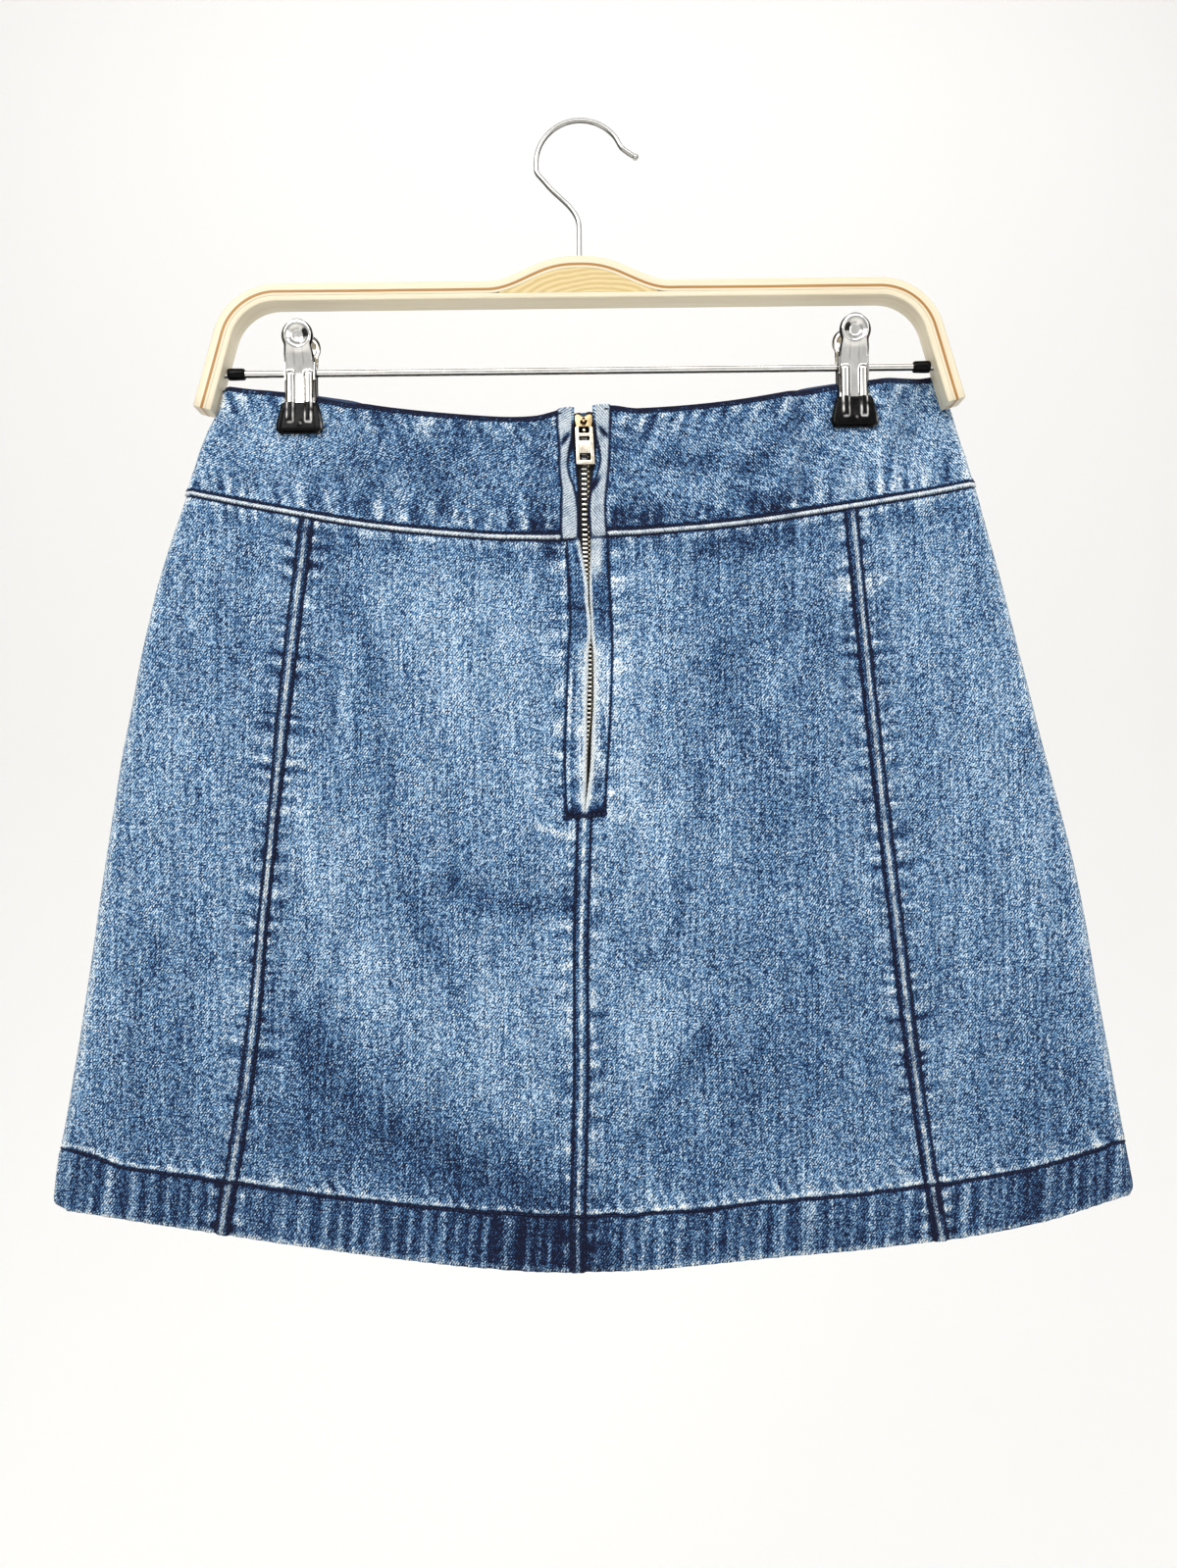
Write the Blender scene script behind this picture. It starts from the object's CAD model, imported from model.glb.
"""The looks of a denim skirt on a wooden clip hanger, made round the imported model.

Sizes are millimetres and become metres where a mesh is made. +X runs to the right of
somebody who faces the skirt's back, -Y points at them, +Z is up, and the origin is the
underside of the hook's wire.
"""

import math
from collections import namedtuple

import bmesh
import bpy
import numpy as np
from mathutils import Matrix, Vector


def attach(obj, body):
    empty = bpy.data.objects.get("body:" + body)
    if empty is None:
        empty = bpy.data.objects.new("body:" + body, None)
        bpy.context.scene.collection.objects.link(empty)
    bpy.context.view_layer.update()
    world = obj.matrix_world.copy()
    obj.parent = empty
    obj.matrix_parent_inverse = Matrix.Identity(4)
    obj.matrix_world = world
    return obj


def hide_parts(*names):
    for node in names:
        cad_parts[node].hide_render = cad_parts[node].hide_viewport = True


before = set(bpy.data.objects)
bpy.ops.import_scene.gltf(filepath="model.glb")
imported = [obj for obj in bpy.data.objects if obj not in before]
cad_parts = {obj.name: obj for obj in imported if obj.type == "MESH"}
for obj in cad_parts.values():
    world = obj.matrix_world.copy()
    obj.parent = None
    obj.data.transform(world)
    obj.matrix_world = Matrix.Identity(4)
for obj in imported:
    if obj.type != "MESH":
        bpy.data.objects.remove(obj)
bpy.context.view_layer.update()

MM = 0.001
GAP = 0.3
SIDES = {"left": -1.0, "right": 1.0}


def table(name, columns, rows):
    """Rows of numbers with named columns."""
    kind = namedtuple(name, columns)
    return tuple(kind(*row) for row in rows)


# ---------------------------------------------------------------- the skirt's outline
TOP_Z = -131.6
WAIST = 53.9
HEM = 398.4
HEM_FOLD = 25.0
HEM_STITCH = HEM - HEM_FOLD

# How wide each ring of cloth is, where its centre line runs, how far each layer stands
# off the middle, and the radius of its side folds. A ring is named by its distance down
# the side fold from the top edge.
LEVELS = table("Level", "down left right centre half fold", (
    (0.0, 177.0, 181.0, 1.0, 8.5, 3.5),
    (11.0, 180.0, 183.8, 1.0, 8.8, 3.5),
    (22.0, 185.4, 187.0, 0.9, 9.3, 3.5),
    (WAIST, 195.3, 193.2, 0.8, 10.5, 3.6),
    (99.0, 209.6, 204.2, 1.2, 12.4, 4.0),
    (173.5, 224.9, 221.0, -1.1, 14.0, 5.0),
    (243.0, 235.9, 237.0, -4.0, 14.9, 5.4),
    (313.5, 246.1, 248.0, -5.0, 15.6, 5.8),
    (373.0, 256.0, 257.3, -7.2, 16.2, 6.0),
    (388.0, 258.0, 259.7, -7.4, 16.3, 6.0),
    (394.5, 258.0, 260.4, -7.5, 16.4, 6.0),
    (HEM, 253.5, 259.8, -7.5, 16.4, 6.0),
))

# How far the top edges, the waist seam and the hem hang below the side folds.
DROPS = table("Drop", "share top front_top waist hem", (
    (-1.00, 0.0, 0.0, 0.0, 0.0),
    (-0.80, 4.8, 3.6, 8.3, 7.0),
    (-0.53, 13.4, 10.6, 18.4, 15.8),
    (-0.26, 18.6, 15.6, 24.4, 23.7),
    (-0.14, 18.7, 15.6, 25.4, 26.3),
    (-0.06, 15.6, 13.2, 25.6, 27.6),
    (0.07, 14.0, 12.2, 24.0, 27.7),
    (0.15, 15.5, 13.2, 23.4, 27.0),
    (0.40, 11.9, 9.8, 19.2, 22.2),
    (0.69, 3.2, 1.8, 10.7, 17.2),
    (0.85, -0.6, -0.6, 5.4, 11.0),
    (1.00, -4.4, -4.4, 0.0, 0.0),
))

SEAMS = table("Seam", "down left right", (
    (WAIST, -134.8, 130.8),
    (110.0, -141.6, 134.7),
    (158.0, -146.9, 138.4),
    (205.0, -151.5, 142.5),
    (252.0, -156.3, 147.1),
    (298.6, -160.5, 151.6),
    (345.0, -166.8, 156.9),
    (HEM, -176.0, 164.5),
))
# How far each seam's two stitch lines lie from its joint, on the centre and the side panel.
PAIRS = table("Pair", "down left_centre left_side right_centre right_side", (
    (WAIST, 3.1, 3.1, 3.8, 2.2),
    (110.0, 3.0, 3.0, 3.6, 2.4),
    (158.0, 2.8, 2.9, 3.3, 2.8),
    (205.0, 2.3, 2.3, 3.1, 3.0),
    (252.0, 2.2, 2.2, 3.1, 3.0),
    (310.0, 2.9, 2.9, 3.2, 3.1),
    (HEM, 3.1, 3.1, 3.2, 3.1),
))
CENTRE_PAIR = 3.25

# The zip opening: its folded edges and the stitch lines beside them.
OPENING = table("Opening", "down left right left_stitch right_stitch", (
    (0.0, -4.7, 5.3, -12.4, 13.6),
    (7.0, -5.0, 5.7, -12.5, 13.3),
    (13.0, -5.0, 5.9, -11.7, 13.0),
    (18.0, -4.3, 5.9, -11.5, 12.8),
    (23.0, -3.6, 5.6, -11.7, 12.4),
    (28.5, -3.1, 4.4, -11.3, 12.0),
    (33.5, -2.8, 3.4, -10.7, 11.2),
    (42.0, -2.8, 2.4, -11.0, 10.3),
    (53.7, -2.6, 3.1, -10.9, 10.9),
    (54.1, -2.6, 3.1, -8.9, 11.2),
    (60.0, -1.7, 3.1, -8.6, 11.3),
    (68.0, -0.2, 2.7, -8.2, 11.5),
    (78.0, 1.2, 2.35, -7.9, 11.7),
    (85.0, 1.25, 2.5, -7.6, 12.0),
    (96.0, 2.4, 3.0, -7.3, 12.5),
    (103.0, 2.2, 3.1, -7.9, 12.6),
    (108.0, 1.3, 3.6, -8.4, 12.6),
    (120.0, 0.8, 3.7, -9.0, 12.3),
    (135.0, 0.0, 3.4, -9.7, 11.6),
    (149.0, -0.2, 2.4, -10.5, 10.7),
    (163.0, -0.6, 1.7, -10.8, 9.6),
    (172.0, -0.9, 0.6, -10.7, 8.9),
    (180.0, -1.4, -0.6, -10.6, 8.4),
    (186.0, -1.5, -1.2, -10.5, 8.0),
))
OPENING_END = 186.0
BOX_END = 190.0
# The bar that closes the box: its middle, its first row of stitches and how it slants.
BOX_BAR = 187.4
BOX_BAR_ROW = 187.2
BOX_BAR_SLANT = 0.06
# The inner boundary of the waistband's rolled lips.
ROLLS = table("Roll", "down left right", (
    (0.0, -5.2, 5.8),
    (7.0, -5.5, 6.2),
    (13.0, -6.1, 6.9),
    (18.0, -7.2, 8.2),
    (23.0, -8.0, 8.6),
    (28.5, -7.0, 7.0),
    (33.5, -5.0, 4.4),
    (42.0, -3.4, 3.0),
    (WAIST, -3.5, 3.4),
))

# Soft folds, each a trough (minus) or a ridge (plus) along a line on one layer.
FOLDS = table("Fold", "side x1 z1 x2 z2 width height", (
    (-1, -118, -226, -88, -345, 17, -1.4),
    (-1, -62, -378, -10, -382, 7, -0.9),
    (-1, 22, -438, 60, -500, 10, -1.2),
    (-1, -84, -502, -22, -536, 17, -1.9),
    (-1, 96, -300, 118, -545, 22, 1.7),
    (-1, -196, -330, -216, -520, 20, 1.5),
    (-1, 196, -280, 222, -500, 20, 1.3),
    (1, -150, -260, -168, -530, 24, 1.6),
    (1, -66, -300, -84, -545, 22, -1.7),
    (1, 20, -340, 14, -550, 24, 1.6),
    (1, 104, -260, 128, -545, 24, -1.5),
    (1, 188, -300, 206, -520, 20, 1.4),
))
# Streaks of the wash, lighter (plus) or darker (minus), along lines of (x, z) on one layer.
STREAKS = table("Streak", "side width tone points", (
    (-1, 9, -0.7, ((-127, -215), (-100, -280))),
    (-1, 6, -0.3, ((-98, -290), (-88, -372))),
    (-1, 6, -0.35, ((-128, -235), (-124, -310))),
    (-1, 4.5, -0.9, ((-88, -378), (-70, -415))),
    (-1, 4, -0.35, ((-67, -422), (-55, -447))),
    (-1, 6, -0.95, ((-66, -375), (-50, -384), (-30, -390), (-8, -382))),
    (-1, 13, -0.5, ((-152, -400), (-143, -435))),
    (-1, 14, -1.05, ((-137, -450), (-105, -490), (-60, -512), (-15, -528))),
    (-1, 18, -0.5, ((-140, -492), (-60, -530), (-18, -545))),
    (-1, 13, -1.1, ((-45, -549), (2, -556))),
    (-1, 5, -0.8, ((55, -450), (20, -498))),
    (-1, 34, -0.4, ((75, -475), (120, -470))),
    (-1, 14, -0.95, ((66, -212), (98, -206))),
    (-1, 5, -0.35, ((72, -250), (60, -300), (50, -340), (38, -410))),
    (-1, 28, -0.35, ((95, -250), (95, -470))),
    (-1, 8, 0.65, ((15, -265), (22, -345))),
    (-1, 22, 0.5, ((-38, -240), (-38, -335))),
    (-1, 14, 0.4, ((-85, -235), (-62, -300))),
    (-1, 9, 0.45, ((-136, -335), (-128, -385))),
    (-1, 12, 0.35, ((-108, -415), (-92, -445))),
    (-1, 20, 0.5, ((-62, -452), (-15, -435))),
    (-1, 14, 0.45, ((-40, -478), (-22, -482))),
    (-1, 12, 0.4, ((20, -475), (26, -430))),
    (-1, 9, 0.25, ((28, -400), (30, -355))),
    (-1, 8, -2.2, ((-21, -203), (-17, -211))),
    (-1, 9, -2.0, ((19, -203), (33, -201))),
    (-1, 12, -0.4, ((-98, -172), (-50, -165))),
    (-1, 6, -0.8, ((-22, -158), (-21, -192))),
    (-1, 7, -0.5, ((13, -160), (21, -178))),
    (-1, 5, -0.7, ((38, -172), (84, -177), (106, -152))),
    (-1, 8, -1.1, ((88, -196), (100, -194))),
    (-1, 6, 0.5, ((38, -190), (56, -187))),
    (-1, 24, -0.35, ((-205, -455), (-215, -485))),
    (-1, 14, 0.25, ((-206, -300), (-214, -345))),
    (-1, 14, 0.2, ((190, -300), (198, -350))),
    (-1, 24, -0.3, ((196, -440), (206, -490))),
    (1, 40, 0.5, ((-112, -300), (-128, -460))),
    (1, 36, 0.5, ((74, -240), (66, -420))),
    (1, 40, -0.4, ((146, -450), (154, -510))),
    (1, 46, -0.35, ((-14, -450), (-6, -510))),
))

BAND_WALL = 2.0
PANEL_WALL = 1.2
PANEL_DEPTH = 0.3
HEM_WALL = 2.4
SEAM_RIDGE = 0.4
LIP_HEIGHT = 0.8
LIP_DIP = 0.9
LIP_DIP_RUN = 2.5
PINCH_HALF = 2.4
PINCH_WIDTH = 22.0
PINCH_FADE = 34.0
PINCH_END = 28.0
PINCH_GONE = 52.0
Corner = namedtuple("Corner", "start full back held gone")
CORNERS = {
    -1: Corner(150.0, 172.0, 2.0, 12.0, 46.0),
    1: Corner(147.0, 171.0, 10.7, 14.0, 62.0),
}
CLIP_X = {"left": -138.4, "right": 133.5}

# ---------------------------------------------------------------- the zip
CHAIN_WIDTH = 5.2
CHAIN_THICK = 2.0
CHAIN_TOP = 5.2
TAPE_TOP = 1.6
TAPE_END = 190.0
TAPE_WIDTH = 12.0
TAPE_FLAT = TAPE_WIDTH + 1.2
ZIP_X = 0.4
CHAIN_X = 1.0
CHAIN_FOOT_X = -1.3
TOOTH_PITCH = 2.1
SLIDER_TOP = -149.4
SLIDER_PLATE = 1.2
SLIDER_DEPTH = 0.7
PULL_AXIS_Z = -154.0
PULL_AXIS_REACH = 1.7
PULL_THICK = 1.4
PULL_HALF = 4.3
PULL_LENGTH = 20.9
PULL_LEAN = 0.7

# ---------------------------------------------------------------- the hanger
HANGER_X = -1.2
WOOD_TOP_Z = -82.0
WOOD_HALF_DEPTH = 6.5
OUTER_PLY = 6.3
INNER_PLY = 2.7
LEG_TOP_X = 172.6
LEG_SLOPE = math.radians(15.2)
LEG_END_Z = -142.4
CORNER_RADIUS = 32.0
HUMP_HALF = 45.0
HUMP_RISE = 12.2
HUMP_POWER = 1.25
WIRE_RADIUS = 1.3
HOOK_RADIUS = 22.0
HOOK_X = 0.5
HOOK_STEM = ((-0.5, -85.5), (-0.5, -76.0), (-0.5, -66.0), (-0.5, -57.0), (-0.6, -51.5))
HOOK_NECK = ((-1.9, -47.2), (-5.0, -42.6), (-9.4, -38.2), (-14.0, -33.7), (-17.8, -29.2))
HOOK_TIP = ((20.9, -12.4), (23.4, -14.6), (26.0, -16.4), (28.4, -17.8))
HOOK_FIRST = 192.0
HOOK_LAST = 36.0
BAR_Z = -125.0
BAR_RADIUS = 1.8
BAR_HALF = 180.0
CAP_RADIUS = 2.9
CAP_LENGTH = 8.6
CAP_END = 173.4

# ---------------------------------------------------------------- the clips
DISC_Z = -109.4
DISC_RADIUS = 7.7
PLATE_THICK = 0.9
PLATE_ROWS = table("PlateRow", "z reach half", (
    (-152.1, 4.5, 8.5),
    (-142.0, 4.5, 8.5),
    (-135.0, 4.6, 7.9),
    (-127.5, 4.8, 7.8),
    (-122.5, 5.4, 7.7),
    (-117.5, 7.1, 7.3),
    (-113.3, 8.9, 7.0),
    (-109.4, 9.4, 7.7),
    (-101.8, 10.3, 7.7),
))
DIMPLE_RADIUS = 5.4
DIMPLE_DEPTH = 1.6
RIB_X = 4.4
RIB_HALF = 2.2
RIB_HEIGHT = 1.2
RIB_GAIN = 1.15
RIB_TOP_Z = -125.6
RIB_END_Z = -151.2
EAR_OFFSET = {"front": 7.0, "back": 5.6}
TIP_TOP_Z = -141.0
TIP_END_Z = -156.2
TIP_INNER = 2.7
TIP_OUTER = 6.4
TIP_TOP_HALF = 10.2
TIP_END_HALF = 11.6
SPRING_RADIUS = 2.75
SPRING_WIRE = 0.55
SPRING_HALF = 4.4
SPRING_TURNS = 7

# ---------------------------------------------------------------- the camera
CAMERA_PLACE = (-0.0028, -0.5739, -0.3502)
CAMERA_RIGHT = (0.99990, -0.00524, -0.01331)
CAMERA_FORWARD = (0.00571, 0.99933, 0.03616)
CAMERA_LENS = 27.017
SENSOR_HEIGHT = 36.0


# ---------------------------------------------------------------- arithmetic
def mix(first, second, share):
    return first + (second - first) * share


def smooth(start, end, value):
    share = np.clip((np.asarray(value, float) - start) / (end - start), 0.0, 1.0)
    return share * share * (3.0 - 2.0 * share)


def falling(start, end, value):
    return 1.0 - smooth(start, end, value)


def bell(value, width):
    return np.exp(-((np.asarray(value, float) / width) ** 2))


def read(table, column, place):
    """One column of a table, along a smooth curve through its rows."""
    xs = np.array([row[0] for row in table], float)
    ys = np.array([getattr(row, column) for row in table], float)
    last = len(xs) - 1
    rows = np.arange(len(xs))
    low, high = np.maximum(rows - 1, 0), np.minimum(rows + 1, last)
    slope = (ys[high] - ys[low]) / (xs[high] - xs[low])
    place = np.clip(np.asarray(place, float), xs[0], xs[-1])
    k = np.clip(np.searchsorted(xs, place, side="right") - 1, 0, last - 1)
    span = xs[k + 1] - xs[k]
    t = (place - xs[k]) / span
    start, end = slope[k] * span, slope[k + 1] * span
    bend = 3.0 * (ys[k + 1] - ys[k]) - 2.0 * start - end
    twist = 2.0 * (ys[k] - ys[k + 1]) + start + end
    return ys[k] + t * (start + t * (bend + t * twist))


def soft_noise(x, y, wide, tall, seed):
    """Smooth noise from -1 to 1 whose bumps are about wide by tall millimetres."""
    cells = 64
    table = np.random.default_rng(seed).uniform(-1.0, 1.0, (cells, cells))
    u, v = np.broadcast_arrays(np.asarray(x, float) / wide, np.asarray(y, float) / tall)
    i, j = np.floor(u).astype(int), np.floor(v).astype(int)
    s, t = u - i, v - j
    s, t = s * s * (3.0 - 2.0 * s), t * t * (3.0 - 2.0 * t)
    a, b = table[i % cells, j % cells], table[(i + 1) % cells, j % cells]
    c, d = table[i % cells, (j + 1) % cells], table[(i + 1) % cells, (j + 1) % cells]
    return mix(mix(a, b, s), mix(c, d, s), t)


def line_noise(place, wide, seed):
    """Smooth noise from -1 to 1 along a line."""
    return soft_noise(place, 0.0, wide, 1.0, seed)


def matched(*values):
    return np.broadcast_arrays(*(np.asarray(value, float) for value in values))


def ripple(place, pitch, seed):
    """An uneven wave along a seam, from about -1 to 1."""
    shift = 0.75 * line_noise(place, 1.9 * pitch, seed)
    height = 0.72 + 0.4 * line_noise(place, 2.7 * pitch, seed + 1)
    turn = 2.0 * math.pi * (place / pitch + shift)
    return height * (np.sin(turn) + 0.25 * np.sin(2.3 * turn + 1.0))


def steps(*spans):
    """Places along one or more (start, end, step) spans, each once."""
    places = [spans[0][0]]
    for start, end, step in spans:
        count = max(1, int(round((end - start) / step)))
        places += [mix(start, end, k / count) for k in range(1, count + 1)]
    return np.array(places, float)


# ---------------------------------------------------------------- the skirt's surface
def flat_half(down, sign):
    centre, fold = read(LEVELS, "centre", down), read(LEVELS, "fold", down)
    if sign < 0:
        return read(LEVELS, "left", down) + centre - fold
    return read(LEVELS, "right", down) - centre - fold


def flat_either(share, down):
    return np.where(share < 0, flat_half(down, -1), flat_half(down, 1))


def share_of(x, down):
    """Where x lies between the centre line (0) and the start of a side fold (1)."""
    offset = x - read(LEVELS, "centre", down)
    return offset / flat_either(offset, down)


def across_of(share, down):
    """Millimetres along the cloth from the middle, round the side folds too."""
    sign, beyond = np.sign(share), np.maximum(np.abs(share) - 1.0, 0.0)
    flat, fold = flat_either(share, down), read(LEVELS, "fold", down)
    near = np.clip(share, -1.0, 1.0) * flat
    return read(LEVELS, "centre", down) + near + sign * beyond * fold * math.pi / 2.0


def drop_at(share, down, side):
    share = np.clip(share, -1.0, 1.0)
    waist = read(DROPS, "waist", share)
    top = read(DROPS, "front_top" if side > 0 else "top", share)
    hem = read(DROPS, "hem", share)
    above = mix(top, waist, down / WAIST)
    below = mix(waist, hem, (down - WAIST) / (HEM - WAIST))
    return np.where(down < WAIST, above, below)


def middle_at(x, down):
    """How far the mid line between the layers lies behind the hanger's middle."""
    total = 0.0
    for sign, corner in CORNERS.items():
        back = corner.back * smooth(corner.start, corner.full, sign * x)
        total = total + back * falling(corner.held, corner.gone, down)
    return total


def half_depth(x, share, down):
    fold, full = read(LEVELS, "fold", down), read(LEVELS, "half", down)
    half = fold + (full - fold) * (1.0 - np.minimum(1.0, np.abs(share)) ** 2.4) ** 2
    for clip_x in CLIP_X.values():
        near = falling(PINCH_WIDTH, PINCH_FADE, np.abs(x - clip_x))
        high = falling(PINCH_END, PINCH_GONE, down)
        half = mix(half, PINCH_HALF, near * high)
    slope = (middle_at(x + 1.0, down) - middle_at(x - 1.0, down)) / 2.0
    return half * np.hypot(1.0, slope)


def from_line(x, z, points):
    """The distance from a line through (x, z) points."""
    nearest = np.inf
    for (x1, z1), (x2, z2) in zip(points, points[1:]):
        run_x, run_z = x2 - x1, z2 - z1
        along = ((x - x1) * run_x + (z - z1) * run_z) / (run_x ** 2 + run_z ** 2)
        along = np.clip(along, 0.0, 1.0)
        nearest = np.minimum(nearest, np.hypot(x - x1 - run_x * along, z - z1 - run_z * along))
    return nearest


def fold_height(side, x, z):
    total = np.zeros_like(x)
    for fold in FOLDS:
        if fold.side == side:
            away = from_line(x, z, ((fold.x1, fold.z1), (fold.x2, fold.z2)))
            total = total + fold.height * bell(away, fold.width)
    return total


def surface(share, down, side):
    """Points of one layer: shares past 1 and -1 run round the side folds to 2 and -2."""
    share, down = matched(share, down)
    sign = np.where(share < 0, -1.0, 1.0)
    centre, fold = read(LEVELS, "centre", down), read(LEVELS, "fold", down)
    flat = flat_either(share, down)
    z = TOP_Z - down - drop_at(share, down, side)
    turn = np.clip(np.abs(share) - 1.0, 0.0, 1.0) * math.pi / 2.0
    edge = centre + np.clip(share, -1.0, 1.0) * flat
    x = edge + sign * fold * np.sin(turn)
    half = np.where(turn > 0.0, fold, half_depth(edge, share, down))
    depth = (half + fold_height(side, edge, z)) * np.cos(turn)
    return np.stack([x, middle_at(x, down) + side * depth, z], axis=-1)


def outward(share, down, side):
    """The direction that points out of one layer."""
    step, drop_step = 0.002, 0.5
    share, down = matched(share, down)
    across = surface(share + step, down, side) - surface(share - step, down, side)
    low = surface(share, down + drop_step, side)
    high = surface(share, np.maximum(0.0, down - drop_step), side)
    normal = np.cross(across, low - high) * side
    normal /= np.linalg.norm(normal, axis=-1, keepdims=True)
    sideways = np.stack([np.sign(share), np.zeros_like(share), np.zeros_like(share)], axis=-1)
    return np.where((np.abs(share) > 1.9)[..., None], sideways, normal)


# ---------------------------------------------------------------- relief, wear and shade
MARKS = ("lift", "wear", "deep", "tone", "pale")


class Relief:
    """What lies on a stretch of cloth: its height, its wear and how dark it stays."""

    def __init__(self, share, down, side):
        share, down = matched(share, down)
        self.share, self.down, self.side = share, down, side
        self.across = across_of(share, down)
        self.z = TOP_Z - down - drop_at(share, down, side)
        for name in MARKS:
            setattr(self, name, np.zeros(share.shape))

    def groove(self, distance, depth=0.32, width=0.5, deep=1.5):
        """The dark furrow that a line of stitches pulls into the cloth."""
        self.lift -= depth * bell(distance, width)
        self.deep += deep * bell(distance, width * 1.1)

    def puckers(self, distance, along, seed, pitch, reach, height, wear, lean=0.0, start=1.5):
        """Ridges square to a seam, worn pale, with dark hollows between them."""
        place = along + lean * distance
        wave = 0.85 * ripple(place, pitch, seed)
        wave = wave + 0.6 * soft_noise(place, distance, 0.4 * pitch, 0.8 * reach, seed + 3)
        uneven = reach * (1.0 + 0.5 * line_noise(along, pitch * 0.9, seed + 2))
        fade = smooth(0.0, start, distance)
        fade = fade * np.exp(-(np.maximum(distance, 0.0) / uneven) ** 1.7)
        self.lift += height * wave * fade
        self.wear += 1.35 * wear * np.maximum(wave, 0.0) * fade
        self.deep += 0.95 * wear * np.maximum(-wave, 0.0) * fade

    def streaks(self):
        for streak in STREAKS:
            if streak.side == self.side:
                away = from_line(self.across, self.z, streak.points)
                self.tone += streak.tone * bell(away, streak.width)

    def patches(self):
        self.streaks()
        self.tone -= 0.25 * smooth(430.0, 500.0, -self.z)
        self.tone += 0.2 * soft_noise(self.across, self.z, 34.0, 60.0, 5 + self.side)
        self.tone += 0.24 * soft_noise(self.across, self.z, 9.0, 24.0, 15 + self.side)
        self.tone += 0.12 * soft_noise(self.across, self.z, 5.0, 9.0, 18 + self.side)
        self.lift += 0.16 * soft_noise(self.across, self.z, 16.0, 24.0, 25 + self.side)


def hem_line(share):
    """The hem's stitches, which climb a little at the left side."""
    return HEM_STITCH - 4.2 * smooth(0.88, 1.0, -share)


def hem_marks(r):
    """The stitched hem: a worn ridge over the stitches and roping below them."""
    below = r.down - hem_line(r.share)
    wave = 0.5 * line_noise(r.across, 9.0, 30)
    r.groove(below + wave, 0.35, 0.8, deep=1.6)
    r.tone -= 0.45 * smooth(0.0, 2.0, below)
    over = -below
    fleck = 0.75 + 0.35 * line_noise(r.across, 4.0, 31)
    r.lift += 0.25 * bell(over - 2.2, 1.4)
    r.wear += 0.95 * fleck * bell(over - 1.9, 1.1)
    r.puckers(over, r.across, 33, 7.5, 7.0, 0.22, 0.6, lean=0.5, start=2.0)
    inside = smooth(0.4, 2.0, below)
    rope = ripple(r.across + 0.1 * below, 8.2, 35)
    fine = ripple(r.across + 0.15 * below, 3.9, 37)
    r.lift += inside * (0.25 + 0.28 * rope)
    r.wear += inside * (0.6 * np.maximum(rope, 0.0) + 0.2 * np.maximum(fine, 0.0))
    r.deep += inside * (0.2 + 0.3 * np.maximum(-rope, 0.0))
    r.wear += 0.75 * smooth(HEM - 3.2, HEM - 0.6, r.down) * (0.8 + 0.3 * fine)
    r.lift -= 0.5 * smooth(HEM - 2.0, HEM, r.down)


def under_waist_marks(r):
    """The tops of the panels, just under the waistband."""
    below = r.down - WAIST
    r.deep += 1.5 * falling(0.7, 1.7, below)
    r.lift -= 0.3 * falling(0.0, 1.6, below)
    r.wear += 0.3 * bell(below - 3.0, 1.4)
    r.deep += 0.16 * bell(below - 8.0, 7.0)
    r.puckers(below, r.across, 41, 10.5, 8.0, 0.2, 0.45, lean=-0.25, start=2.5)


def joint_marks(r, distance, line, seed):
    """One half of a pressed-open seam: worn joint, dark stitch line, puckers beyond it."""
    inside = falling(line - 0.6, line + 0.5, distance)
    r.lift += (SEAM_RIDGE + PANEL_DEPTH) * inside
    r.lift -= 0.35 * bell(distance, 0.4)
    broken = 0.7 + 0.5 * soft_noise(r.down, distance, 2.2, 2.0, seed)
    r.wear += 1.9 * broken * bell(distance - 0.15, 0.6)
    r.deep += 0.3 * inside * smooth(0.6, 1.6, distance)
    r.groove(distance - line)
    beyond = distance - line
    r.tone -= 0.8 * bell(distance, 6.5)
    r.wear += 0.12 * bell(beyond - 2.2, 1.6)
    r.puckers(beyond, r.down, seed + 4, 12.5, 7.0, 0.24, 0.3, lean=0.12, start=1.2)
    r.puckers(beyond, r.down, seed + 9, 7.4, 6.5, 0.14, 0.62, lean=0.1, start=1.0)
    r.pale += 0.5 * broken * bell(distance - 0.15, 0.5)


def edge_glow(r, wear):
    """The side folds wear pale."""
    r.wear += wear * smooth(0.975, 1.1, np.abs(r.share)) * falling(1.5, 2.0, np.abs(r.share))


def back_panel_relief(word, part):
    sign = SIDES[word]

    def relief(share, down):
        r = Relief(share, down, -1)
        r.patches()
        r.lift -= PANEL_DEPTH
        seam = read(SEAMS, word, r.down)
        line = read(PAIRS, "%s_%s" % (word, part), r.down)
        distance = sign * ((seam - r.across) if part == "centre" else (r.across - seam))
        joint_marks(r, distance, line, 50 if word == "left" else 70)
        under_waist_marks(r)
        if part == "centre":
            opening_marks(r, word, sign)
        else:
            edge_glow(r, 0.4)
        hem_marks(r)
        return r

    return relief


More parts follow.
